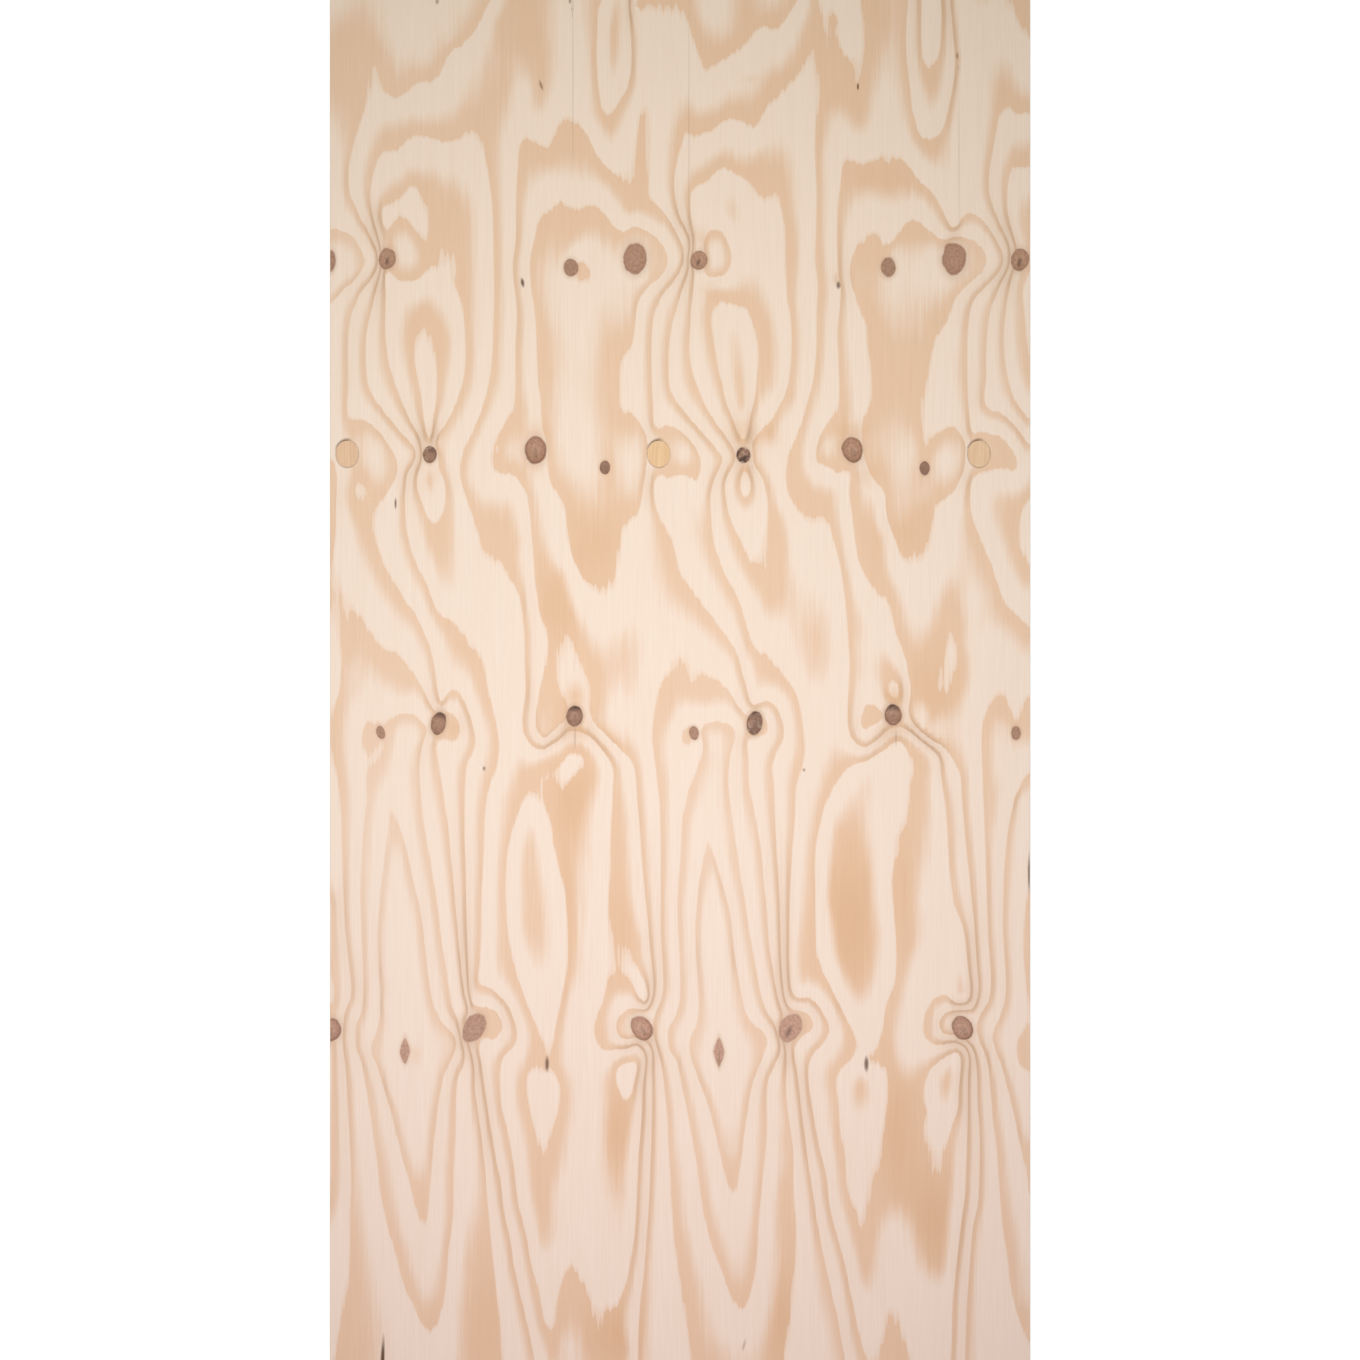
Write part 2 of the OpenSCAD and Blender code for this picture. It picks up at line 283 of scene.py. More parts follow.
# Soft spots between the ring edges, where the tone fades without an edge: photo x, y and ring height
ringSpots = [
    # head, left turn
    (400, 12, 0.42), (420, 28, 0.45), (445, 12, 0.48), (384, 30, 0.55), (470, 8, 0.62), (350, 30, 0.85),
    (340, 6, 0.5), (400, 50, 0.46), (395, 75, 0.72), (425, 60, 0.52), (450, 40, 0.52), (341, 80, 0.87),
    (355, 100, 0.9), (335, 340, 0.25), (335, 375, 0.3), (335, 412, 0.35), (336, 140, 0.5),
    (337, 180, 0.35), (335, 210, 0.25), (495, 20, 1.7), (505, 6, 1.82), (492, 60, 1.68),
    (489, 100, 1.78), (512, 112, 1.55), (510, 60, 1.74), (511, 85, 1.75), (521, 58, 1.7),
    (522, 90, 1.3), (533, 15, 1.87), (535, 50, 1.87), (536, 80, 1.82), (538, 104, 1.74),
    (539, 116, 1.5), (570, 30, 1.35), (570, 80, 1.3), (584, 60, 1.42), (588, 92, 1.42),
    (586, 120, 1.35), (640, 62, 1.3), (640, 95, 1.3), (464, 62, 1.28), (430, 112, 1.46),
    (420, 115, 1.5), (400, 118, 1.55), (384, 128, 1.7), (455, 95, 1.4), (612, 30, 2.75),
    (613, 60, 2.66), (613, 88, 2.35), (612, 130, 1.75), (645, 40, 1.32), (660, 60, 1.28),
    (665, 100, 1.25), (688, 105, 1.62),
    # head, middle and right turns
    (715, 20, 0.45), (704, 8, 0.45), (730, 32, 0.62), (742, 20, 0.8), (748, 8, 0.88), (772, 8, 0.66),
    (760, 15, 0.7), (700, 100, 1.35), (740, 85, 1.38), (780, 55, 1.42), (700, 121, 1.85),
    (735, 106, 1.8), (775, 85, 1.88), (799, 45, 1.7), (812, 22, 1.9), (792, 25, 1.35), (840, 92, 1.9),
    (857, 112, 1.88), (828, 75, 1.9), (826, 40, 1.88), (838, 30, 2.2), (846, 45, 2.25), (840, 8, 2.25),
    (850, 20, 2.3), (862, 126, 1.7), (839, 122, 1.42), (882, 100, 1.35), (880, 66, 1.64),
    (880, 20, 1.9), (893, 45, 1.62), (885, 130, 1.25), (850, 145, 1.3), (826, 145, 1.6), (930, 80, 2.9),
    (931, 98, 2.7), (931, 122, 2.3), (913, 40, 2.4), (948, 60, 2.4), (970, 60, 1.35), (985, 120, 1.45),
    (958, 40, 1.5), (958, 80, 1.5), (956, 112, 1.44), (955, 138, 1.4), (965, 160, 1.3),
    (976, 176, 1.34), (930, 150, 1.85), (1003, 85, 1.76), (1020, 90, 1.6), (1003, 60, 1.55),
    (985, 40, 1.3), (1022, 157, 2.85), (1015, 132, 2.35), (1022, 184, 3.35), (1026, 215, 3.75),
    # first row of knots
    (550, 158, 0.86), (575, 148, 0.87), (600, 170, 0.87), (540, 185, 0.42), (570, 184, 0.42),
    (605, 196, 0.4), (640, 165, 0.92), (641, 195, 0.82), (555, 225, -0.2), (578, 240, -0.3),
    (567, 252, -0.33), (600, 240, -0.35), (595, 300, -0.55), (580, 350, -0.55), (583, 400, -0.52),
    (587, 440, -0.55), (590, 475, -0.5), (628, 460, -0.55), (630, 490, -0.4), (594, 550, -0.12),
    (582, 525, -0.18), (600, 520, -0.2), (632, 310, -0.35), (622, 290, -0.5), (612, 340, -0.2),
    (608, 390, -0.18), (548, 375, -0.2), (549, 335, -0.27), (560, 435, -0.5), (566, 470, -0.45),
    (612, 438, -0.3), (612, 470, -0.2), (653, 258, -0.25), (641, 283, -0.55), (630, 212, 0.86),
    (655, 226, 0.65), (645, 212, 0.8), (408, 254, 2.3), (400, 240, 2.45), (427, 255, 2.9),
    (440, 225, 2.88), (440, 195, 2.85), (420, 160, 2.35), (468, 215, 2.74), (468, 250, 2.74),
    (380, 185, 2.35), (398, 176, 2.5), (425, 312, 3.88), (407, 322, 3.75), (446, 340, 3.85),
    (393, 320, 3.3), (458, 335, 3.3), (425, 290, 3.4), (426, 385, 4.3), (446, 300, 3.35),
    (395, 350, 3.4), (716, 254, 2.25), (731, 212, 3.68), (760, 240, 3.25), (705, 210, 3.25),
    (722, 294, 3.88), (745, 297, 3.85), (768, 335, 3.85), (703, 320, 3.75), (779, 300, 3.3),
    (782, 352, 3.45), (780, 390, 3.48), (720, 284, 3.5), (735, 335, 4.6), (737, 375, 4.78),
    (741, 408, 4.7), (775, 230, 3.3), (738, 150, 2.5), (700, 158, 2.4), (780, 158, 2.72),
    (760, 156, 2.7), (800, 200, 2.45), (800, 300, 2.5), (864, 180, 0.86), (886, 182, 0.88),
    (905, 182, 0.82), (862, 206, 0.42), (885, 212, 0.35), (903, 208, 0.42), (848, 225, 0.5),
    (865, 265, -0.15), (866, 300, -0.15), (895, 252, -0.5), (890, 288, -0.5), (932, 250, -0.5),
    (945, 286, -0.5), (900, 320, -0.37), (922, 332, -0.3), (905, 280, -0.5), (920, 262, -0.55),
    (915, 305, -0.38), (938, 295, -0.4), (884, 345, -0.12), (900, 390, -0.15), (912, 360, -0.15),
    (880, 400, -0.1), (915, 240, -0.2), (974, 262, -0.2), (960, 275, -0.4),
    # second row of knots
    (915, 448, -0.4), (903, 465, -0.5), (942, 460, -0.6), (926, 492, -0.4), (906, 535, -0.1),
    (918, 520, -0.15), (880, 470, -0.12), (362, 448, 0.62), (372, 490, 0.76), (379, 470, 0.52),
    (376, 450, 0.45), (368, 436, 0.6), (350, 540, 0.42), (361, 575, 0.4), (343, 500, 0.6),
    (431, 482, 3.65), (432, 505, 3.3), (435, 540, 2.9), (437, 562, 2.75), (437, 592, 2.4),
    (456, 605, 2.3), (460, 560, 2.45), (405, 600, 1.25), (395, 540, 1.4), (470, 478, 1.6),
    (482, 490, 1.45), (497, 520, 1.85), (508, 548, 1.8), (514, 500, 1.5), (522, 570, 1.62),
    (521, 540, 1.68), (500, 450, 1.15), (512, 450, 0.5), (517, 445, 0.68), (504, 455, 0.72),
    (545, 560, 0.8), (553, 590, 0.86), (560, 618, 0.9), (578, 600, 0.45), (562, 560, 0.35),
    (600, 630, 0.35), (588, 648, 0.75), (597, 672, 0.86), (602, 705, 0.82), (618, 700, 0.4),
    (630, 652, 0.68), (620, 640, 0.6), (640, 600, 0.35), (620, 735, 0.6), (640, 730, 0.35),
    (545, 700, 0.85), (550, 720, 0.9), (680, 500, 1.35), (690, 540, 1.45), (685, 455, 0.42),
    (676, 445, 0.6), (746, 485, 4.4), (746, 515, 3.35), (780, 520, 2.88), (785, 552, 2.85),
    (781, 588, 2.82), (765, 605, 2.75), (798, 560, 2.3), (775, 630, 2.35), (757, 605, 2.45),
    (822, 638, 2.72), (812, 660, 2.7), (800, 690, 2.25), (830, 700, 2.3), (810, 490, 1.87),
    (828, 503, 1.87), (837, 488, 1.6), (806, 462, 1.6), (842, 500, 1.3), (826, 445, 0.45),
    (870, 550, 0.85), (874, 528, 0.82), (867, 505, 0.6), (881, 552, 0.86), (895, 600, 0.85),
    (910, 655, 0.88), (900, 580, 0.4), (915, 600, 0.3), (922, 620, 0.42), (950, 592, 0.75),
    (940, 622, 0.85), (962, 630, 0.86), (928, 660, 0.92), (925, 695, 0.92), (962, 680, 0.88),
    (945, 705, 0.85), (970, 640, 0.5), (975, 600, 0.4), (972, 700, 0.4), (965, 730, 0.45),
    (930, 720, 0.85), (946, 560, 0.3), (950, 650, 1.1), (1000, 640, 0.4), (985, 620, 0.55),
    (872, 717, 0.85), (865, 690, 1.3), (864, 650, 1.45), (862, 628, 1.6), (888, 668, 1.85),
    (893, 690, 2.1),
    # third row of knots
    (350, 640, -0.1), (368, 662, -0.3), (345, 674, -0.36), (370, 676, -0.42), (395, 675, -0.15),
    (360, 690, -0.45), (350, 715, -0.45), (400, 700, -0.5), (370, 738, -1.15), (400, 738, -1.6),
    (412, 730, -1.6), (400, 780, -1.6), (395, 760, -1.5), (454, 727, -0.15), (715, 738, -1.55),
    (705, 732, -1.55), (715, 780, -1.6), (680, 690, -0.2), (705, 700, -0.2), (675, 720, -0.45),
    (715, 712, -0.6), (690, 760, -0.8), (525, 776, 2.88), (550, 792, 2.92), (575, 800, 2.9),
    (590, 790, 2.75), (602, 800, 2.4), (580, 840, 2.72), (578, 870, 2.64), (594, 860, 2.45),
    (600, 900, 2.3), (577, 900, 2.68), (570, 1030, 2.35), (572, 1000, 2.4), (568, 1062, 2.42),
    (588, 935, 2.45), (570, 775, 3.15), (500, 800, 2.5), (505, 770, 2.35), (525, 850, 3.7),
    (530, 885, 3.76), (532, 930, 3.78), (521, 925, 3.6), (540, 860, 3.55), (541, 978, 3.4),
    (527, 810, 3.2), (514, 900, 3.35), (552, 900, 3.4), (620, 800, 1.85), (622, 850, 1.85),
    (625, 905, 1.87), (631, 932, 1.9), (633, 820, 1.45), (636, 870, 1.45), (836, 830, 3.7),
    (848, 870, 3.92), (850, 920, 3.95), (857, 960, 3.92), (863, 990, 3.75), (868, 1015, 3.35),
    (845, 800, 3.5), (829, 900, 3.78), (819, 880, 3.3), (878, 880, 3.5), (885, 930, 3.45),
    (835, 950, 3.7), (828, 960, 3.35), (880, 800, 3.3), (890, 770, 3.25), (900, 790, 3.25),
    (906, 860, 2.88), (907, 900, 2.88), (910, 940, 2.88), (905, 985, 2.6), (899, 985, 2.85),
    (950, 975, 2.3), (948, 952, 2.35), (952, 990, 2.3), (930, 900, 2.3), (925, 965, 2.3),
    (932, 840, 2.5), (925, 800, 2.8), (925, 770, 2.75), (936, 800, 2.4), (958, 860, 1.45),
    (956, 830, 1.6),
    # fourth row of knots and foot
    (395, 848, -2.45), (395, 865, -2.62), (396, 890, -2.68), (390, 925, -2.7), (405, 925, -2.7),
    (385, 970, -2.7), (410, 960, -2.7), (383, 1005, -2.68), (416, 1000, -2.7), (400, 950, -2.75),
    (390, 1085, -2.7), (425, 1085, -2.7), (405, 1035, -2.7), (410, 1125, -2.7), (416, 1152, -2.62),
    (419, 1172, -2.4), (415, 1235, -1.68), (422, 1266, -1.64), (428, 1292, -1.5), (437, 1240, -1.68),
    (713, 862, -2.45), (715, 885, -2.62), (713, 915, -2.68), (704, 960, -2.68), (728, 960, -2.66),
    (712, 990, -2.72), (720, 1030, -2.7), (706, 1075, -2.6), (742, 1075, -2.6), (730, 1115, -2.68),
    (734, 1150, -2.45), (728, 1225, -1.62), (735, 1252, -1.56), (738, 1278, -1.4), (640, 990, 2.15),
    (640, 960, 1.8), (606, 1030, 1.8), (624, 1027, 0.75), (494, 1024, 0.85), (505, 1030, 1.3),
    (626, 1118, 2.9), (615, 1110, 2.87), (622, 1150, 2.88), (616, 1185, 2.72), (613, 1212, 2.5),
    (592, 1100, 2.35), (585, 1150, 2.35), (602, 1180, 2.5), (632, 1200, 2.35), (604, 1068, 2.5),
    (626, 1080, 3.3), (585, 1050, 2.5), (583, 1010, 2.45), (543, 1172, 2.92), (540, 1202, 2.88),
    (542, 1232, 2.75), (546, 1258, 2.45), (561, 1200, 2.42), (577, 1240, 2.3), (529, 1205, 2.45),
    (515, 1100, 2.6), (510, 1075, 2.4), (543, 1100, 3.25), (568, 1130, 2.6), (862, 1248, 2.92),
    (862, 1276, 2.75), (862, 1305, 2.3), (886, 1245, 2.4), (896, 1230, 2.4), (900, 1200, 2.8),
    (900, 1100, 2.9), (898, 1150, 2.9), (915, 1180, 2.92), (908, 1130, 2.75), (935, 1200, 2.92),
    (936, 1240, 2.9), (936, 1270, 2.75), (935, 1296, 2.3), (952, 1270, 2.35), (900, 1270, 2.3),
    (825, 1100, 2.5), (835, 1180, 2.5), (946, 1080, 3.86), (945, 1102, 3.55), (859, 1085, 3.86),
    (858, 1100, 3.7), (866, 1080, 3.66), (874, 1048, 3.2), (868, 1040, 3.2), (888, 1050, 2.86),
    (884, 1062, 2.9), (862, 1130, 3.25), (910, 1050, 2.3), (920, 1040, 2.2), (932, 1025, 1.8),
    (350, 1320, -0.14), (357, 1350, -0.14), (334, 1330, 0.15), (334, 1352, 0.12), (386, 1345, -0.5),
    (378, 1290, -0.5), (485, 1250, -0.15), (480, 1300, -0.15), (475, 1350, -0.15), (455, 1310, -0.5),
    (448, 1352, -0.6), (420, 1352, -0.6), (700, 1345, -0.2), (720, 1335, -0.5), (786, 1250, -0.15),
    (780, 1300, -0.17), (770, 1350, -0.2), (755, 1340, -0.5), (575, 1300, 1.8), (568, 1345, 1.5),
    (550, 1350, 1.84), (612, 1335, 1.9), (598, 1350, 1.87), (630, 1330, 1.5), (893, 1350, 1.88),
    (1012, 1345, 0.25), (1020, 1352, 0.2), (1024, 1250, -0.5), (1003, 728, -0.5), (1004, 765, -0.62),
    (1022, 1130, -1.42), (1020, 830, -1.65), (1018, 800, -1.6), (1022, 860, -1.65), (370, 1000, -1.65),
    (1020, 1300, -0.3),
    # touches by the side of knots and between close rings
    (346, 262, -0.55), (350, 280, -0.5), (344, 246, -0.42), (337, 290, -0.5), (565, 570, 0.63),
    (875, 500, 0.6), (885, 535, 0.65), (920, 480, -0.24), (1000, 497, 1.68), (824, 140, 1.8),
    (630, 690, 0.63), (815, 668, 2.69), (742, 406, 4.78), (797, 400, 2.64), (795, 250, 2.8),
    (850, 410, 0.75), (846, 427, 0.86), (530, 410, 0.6), (714, 289, 3.8), (545, 757, 2.74),
    (530, 830, 3.6), (535, 950, 3.7), (640, 940, 1.78), (870, 870, 3.7), (533, 1200, 2.78),
    (540, 1240, 2.71), (472, 1230, -0.32), (472, 1262, -0.2), (780, 1140, -0.33), (780, 1185, -0.25),
    (780, 1222, -0.2), (625, 1350, 1.9), (720, 1350, -0.33), (376, 1328, -0.33), (835, 1010, 2.55),
]


# Ring field: a springy skin that is pinned to the ring edges and relaxes between them

ringField = {
    "columns": 291, "rows": 306, "tension": 0.02, "hold": 4.0,
    "step": 1.5,  # photo pixels from pin to pin along a line
    "levels": ((8, 400), (4, 400), (2, 400), (1, 500)),  # cells, from coarse to fine, and rounds for each
}
tiny = 1e-6


def smoothLine(points, closed, step):
    # a curve through all the traced points that makes no loop where they lie close together
    posts = np.array(points, float)
    if closed:
        posts = np.vstack([posts[-1:], posts, posts[:2]])
    else:
        posts = np.vstack([2 * posts[:1] - posts[1:2], posts, 2 * posts[-1:] - posts[-2:-1]])
    runs = []
    for i in range(1, len(posts) - 2):
        a, b, c, d = posts[i - 1:i + 3]
        before, here, after = [max(np.hypot(*gap), tiny) ** 0.5 for gap in (b - a, c - b, d - c)]
        leave = c - b + here * ((b - a) / before - (c - a) / (before + here))
        arrive = c - b + here * ((d - c) / after - (d - b) / (here + after))
        count = max(2, int(np.hypot(*(c - b)) / step))
        t = np.linspace(0, 1, count, endpoint=False)[:, None]
        runs.append((2 * t**3 - 3 * t**2 + 1) * b + (t**3 - 2 * t**2 + t) * leave
                    + (3 * t**2 - 2 * t**3) * c + (t**3 - t**2) * arrive)
    return np.vstack(runs)


def ringPins():
    places, heights = [], []
    for ring, closed, points in ringLines.values():
        line = smoothLine(points, closed, ringField["step"])
        places.append(line)
        heights.append(np.full(len(line), float(ring)))
    for x, y, height in ringSpots:
        places.append(np.array([[x, y]], float))
        heights.append(np.array([height]))
    pixels = np.vstack(places)
    pins = np.column_stack(onBoard(pixels[:, 0], pixels[:, 1]))
    inside = (np.abs(pins[:, 0]) < sheetHigh.x) & (np.abs(pins[:, 1]) < sheetHigh.y)
    return pins[inside], np.concatenate(heights)[inside]


def gridCell(places, columns, rows):
    # the four grid points round each place, and each one's share in it
    across = (places[:, 0] - sheetLow.x) / (sheetHigh.x - sheetLow.x) * (columns - 1)
    along = (places[:, 1] - sheetLow.y) / (sheetHigh.y - sheetLow.y) * (rows - 1)
    column = np.clip(across.astype(int), 0, columns - 2)
    row = np.clip(along.astype(int), 0, rows - 2)
    u, v = np.clip(across - column, 0, 1), np.clip(along - row, 0, 1)
    corner = row * columns + column
    ids = np.stack([corner, corner + 1, corner + columns, corner + columns + 1])
    shares = np.stack([(1 - u) * (1 - v), u * (1 - v), (1 - u) * v, u * v])
    return ids, shares


def sampleGrid(field, places):
    ids, shares = gridCell(places, field.shape[1], field.shape[0])
    return (shares * field.ravel()[ids]).sum(0)


def regrid(field, columns, rows):
    acrossBoard = np.linspace(sheetLow.x, sheetHigh.x, columns)
    alongBoard = np.linspace(sheetLow.y, sheetHigh.y, rows)
    x, y = np.meshgrid(acrossBoard, alongBoard)
    return sampleGrid(field, np.column_stack([x.ravel(), y.ravel()])).reshape(rows, columns)


def relax(places, heights, field, rounds):
    # conjugate gradients: the skin bends as little as it can and is held at its pins
    rows, columns = field.shape
    ids, shares = gridCell(places, columns, rows)
    hold, tension = ringField["hold"], ringField["tension"]

    def spread(pulls):
        return np.bincount(ids.ravel(), (shares * pulls).ravel(), columns * rows).reshape(rows, columns)

    def lean(skin):
        force = np.zeros_like(skin)
        step = np.diff(skin, axis=1)
        force[:, :-1] -= step
        force[:, 1:] += step
        step = np.diff(skin, axis=0)
        force[:-1] -= step
        force[1:] += step
        return force

    def stiffness(skin):
        bent = lean(skin)
        return lean(bent) + tension * bent + hold * spread((shares * skin.ravel()[ids]).sum(0))

    left = hold * spread(heights) - stiffness(field)
    way = left.copy()
    error = (left * left).sum()
    for _ in range(rounds):
        push = stiffness(way)
        stride = error / (way * push).sum()
        field = field + stride * way
        left = left - stride * push
        was, error = error, (left * left).sum()
        way = left + error / was * way
    return field


pinPlaces, pinHeights = ringPins()
ringSkin = np.full((2, 2), pinHeights.mean())
for cell, rounds in ringField["levels"]:
    columns = (ringField["columns"] - 1) // cell + 1
    rows = (ringField["rows"] - 1) // cell + 1
    ringSkin = relax(pinPlaces, pinHeights, regrid(ringSkin, columns, rows), rounds)
skinRise = np.gradient(ringSkin, (sheetHigh.y - sheetLow.y) / (ringField["rows"] - 1), axis=0)
skinRun = np.gradient(ringSkin, (sheetHigh.x - sheetLow.x) / (ringField["columns"] - 1), axis=1)
print("ring field", ringSkin.shape, "from", round(ringSkin.min(), 2), "to", round(ringSkin.max(), 2))

# Looks of a knot, from 0 to 1: resin dark, red, bark on the rim, pith, black patches, black upper side
knotLooks = {
    "plain": (0.33, 0.1, 0.05, 0, 0, 0),
    "red": (0.17, 0.9, 0.3, 0, 0, 0),
    "rosy": (0.18, 0.9, 0.15, 0, 0, 0),
    "slit": (0, 0.9, 0.15, 0.8, 0, 0),
    "spike": (0.04, 0.8, 0, 0.2, 0, 0),
    "ringed": (0.1, 0.6, 0.85, 0.4, 0, 0),
    "fresh": (0, 0.6, 0.8, 0.4, 0, 0),
    "pithy": (0.1, 0.1, 0.45, 0.9, 0, 0),
    "small": (0.6, 0.4, 0.2, 0, 0.1, 0),
    "dead": (0.5, 0.1, 0.5, 0, 1, 0.2),
    "flecked": (0.5, 0.1, 0.5, 0, 0.5, 0.1),
    "crowned": (0.45, 0.1, 0.5, 0, 0.45, 0.8),
    "capped": (0.33, 0.3, 0.6, 0.3, 0.2, 1),
}
# Knots of the peeled log, by photo pixel: x, y, half width, half height, lean in degrees, look
knots = [
    (330, 261, 6, 10.5, 0, "plain"), (387.5, 258.5, 8.5, 11, 8, "pithy"), (571, 267.5, 7, 9, 0, "plain"),
    (635, 258.5, 11.5, 15.5, 0, "red"), (699, 260, 8.5, 9.5, 15, "pithy"),
    (888.5, 267.5, 7.5, 9.5, 0, "plain"), (954, 259, 12, 16.5, 0, "red"),
    (1020, 259.5, 9, 11.5, 10, "pithy"), (430, 454.5, 7, 8.5, 0, "flecked"),
    (535.5, 450, 10.5, 14, 0, "ringed"), (605, 467.5, 5, 6.5, 0, "small"), (743.5, 455, 7, 8, 0, "dead"),
    (852.5, 449.5, 10.5, 13, -15, "ringed"), (924.5, 468, 5, 7, 0, "small"),
    (380.5, 732.5, 4.2, 6.5, -15, "plain"), (438.5, 723, 7.5, 11.5, 15, "capped"),
    (574.5, 716, 8, 10, 0, "capped"), (694, 733, 4.8, 7, -10, "plain"),
    (754.5, 723, 7.8, 12, 10, "crowned"), (893, 715, 8.5, 10, 0, "capped"),
    (1016, 733, 4.8, 7, 0, "plain"), (330, 1030, 11, 12, 0, "ringed"), (405, 1051, 5.2, 13, 0, "spike"),
    (474, 1028, 10.5, 15, 25, "rosy"), (642, 1028.5, 10, 13, -30, "fresh"),
    (719, 1052, 5.4, 14.5, 0, "spike"), (790.5, 1028, 10.5, 15, 25, "slit"),
    (962.5, 1028, 10, 12.5, -30, "ringed"),
]
# Bark slits, pin knots, the split at the foot and the bruise on the right edge, each with its darkness
flaws = [
    (547, 1064, 1.7, 6.5, 0, 0.8), (866.5, 1064, 1.9, 6.5, 0, 0.85), (382.5, 1362, 1.7, 21, 2, 1.0),
    (1030, 873, 1.8, 17, 0, 0.9), (522.5, 282.5, 1.5, 4, -10, 0.9), (838.5, 285, 1.8, 3.2, 0, 0.8),
    (541, 85, 1.2, 4.5, -18, 0.6), (957.5, 55.5, 1.1, 2.7, 0, 0.5), (858, 86.5, 0.9, 3, 0, 0.9),
    (395.5, 503.5, 0.9, 4.5, 0, 0.8), (484, 768.5, 1.4, 1.8, 0, 0.6), (804, 770, 1.2, 1.6, 0, 0.5),
    (719, 1063, 1.2, 5, 0, 0.2), (437, 1, 1.6, 2.5, 0, 0.5), (570, 0, 1.2, 3, 0, 0.6),
]
# Thin drying checks and resin lines that run along the grain, each with its darkness
checks = [
    (573, 80, 0.5, 75, 0, 0.22), (689, 130, 0.5, 105, 0, 0.2), (959, 160, 0.5, 60, 0, 0.2),
    (575, 738, 0.8, 9, 0, 0.3), (896, 738, 0.8, 7, 0, 0.25), (744, 1345, 1.2, 5, 15, 0.35),
]
# Patches where the late wood is deeper or paler than elsewhere: x, y, half width, half height, share
warmPatches = [
    (395, 930, 65, 290, -0.27), (715, 900, 60, 260, -0.27), (1030, 1000, 50, 280, -0.1),
    (375, 830, 25, 120, -0.2), (345, 300, 30, 110, -0.2), (400, 90, 110, 110, -0.14),
    (1000, 280, 35, 120, -0.2), (665, 300, 35, 80, -0.1), (567, 920, 11, 80, 0.3),
    (620, 930, 18, 60, 0.25), (903, 890, 11, 60, 0.25), (594, 545, 30, 40, 0.3), (906, 530, 30, 40, 0.22),
    (575, 800, 25, 40, 0.4), (850, 920, 30, 80, 0.55), (560, 605, 25, 40, 0.35), (930, 690, 30, 40, 0.3),
    (618, 1130, 22, 45, 0.4), (898, 1130, 22, 70, 0.4), (935, 1220, 28, 55, 0.45),
    (620, 1335, 35, 35, 0.5), (780, 1320, 25, 60, 0.4), (485, 1330, 30, 60, 0.2), (603, 742, 25, 15, 0.3),
    (930, 735, 25, 12, 0.35), (885, 182, 40, 20, 0.12),
]
# Stains that follow no ring, in the same order of values
stains = [
    (416, 1055, 6, 10, 0.45), (836, 279, 3, 5, 0.8), (752, 79, 9, 4, 0.35), (455, 727, 7, 11, 0.3),
    (535, 431, 11, 9, 0.6), (853, 431, 11, 9, 0.7), (575, 696, 9, 12, 1.0), (744, 432, 13, 14, 0.7),
    (772, 436, 7, 9, 0.7), (744, 470, 9, 10, 0.4), (430, 479, 6, 12, 0.5), (867, 478, 8, 14, 0.4),
    (430, 435, 9, 10, 0.3), (700, 238, 9, 9, 0.5), (707, 290, 9, 8, 0.4), (535, 468, 10, 8, 0.4),
    (893, 732, 14, 10, 0.5), (575, 733, 14, 10, 0.5), (894, 697, 8, 10, 0.8), (574, 716, 17, 15, 0.4),
]

# Sheet: the face veneer is a fine grid, finer still round knots and flaws

sheetForm = {
    "arris": 0.4 * mm, "ply": 2.4 * mm, "columns": 248, "rows": 270,
    # round a knot or flaw: times its size, room at its sides, room at its ends, cuts of each cell
    "knotCells": (1.5, 2 * mm, 4 * mm, 2), "flawCells": (1, 5 * mm, 9 * mm, 3),
    "plugGap": 0.5 * mm, "plugMargin": 6 * mm, "plugSides": 96,
    # how low the wood lies, and over which part of the mark's radius it rises to the face
    "knotSink": 0.25 * mm, "knotSlope": (0.95, 1.05), "flawSink": 1.2 * mm, "flawSlope": (0.4, 1.4),
}


def inOrder(edges):
    # a set has no order of its own, and each run has to give the same mesh
    return sorted(edges, key=lambda e: e.index)


def refine(bm, marks, spread, sideRoom, endRoom, cuts):
    for markX, markY, halfWidth, halfHeight, *_ in marks:
        x, y = onBoard(markX, markY)
        reachX = spread * halfWidth * pixel + sideRoom
        reachY = spread * halfHeight * pixel + endRoom
        near = {v for v in bm.verts if abs(v.co.x - x) < reachX and abs(v.co.y - y) < reachY}
        bm.edges.index_update()
        edges = inOrder({e for v in near for e in v.link_edges if e.other_vert(v) in near})
        bmesh.ops.subdivide_edges(bm, edges=edges, cuts=cuts, use_grid_fill=True)


bm = bmesh.new()
halfSize = Matrix.Diagonal((sheetHigh.x - sheetForm["arris"], sheetHigh.y - sheetForm["arris"], 1, 1))
bmesh.ops.create_grid(bm, x_segments=sheetForm["columns"], y_segments=sheetForm["rows"], size=1,
                      matrix=Matrix.Translation((0, 0, faceZ)) @ halfSize)
refine(bm, knots, *sheetForm["knotCells"])
refine(bm, flaws, *sheetForm["flawCells"])

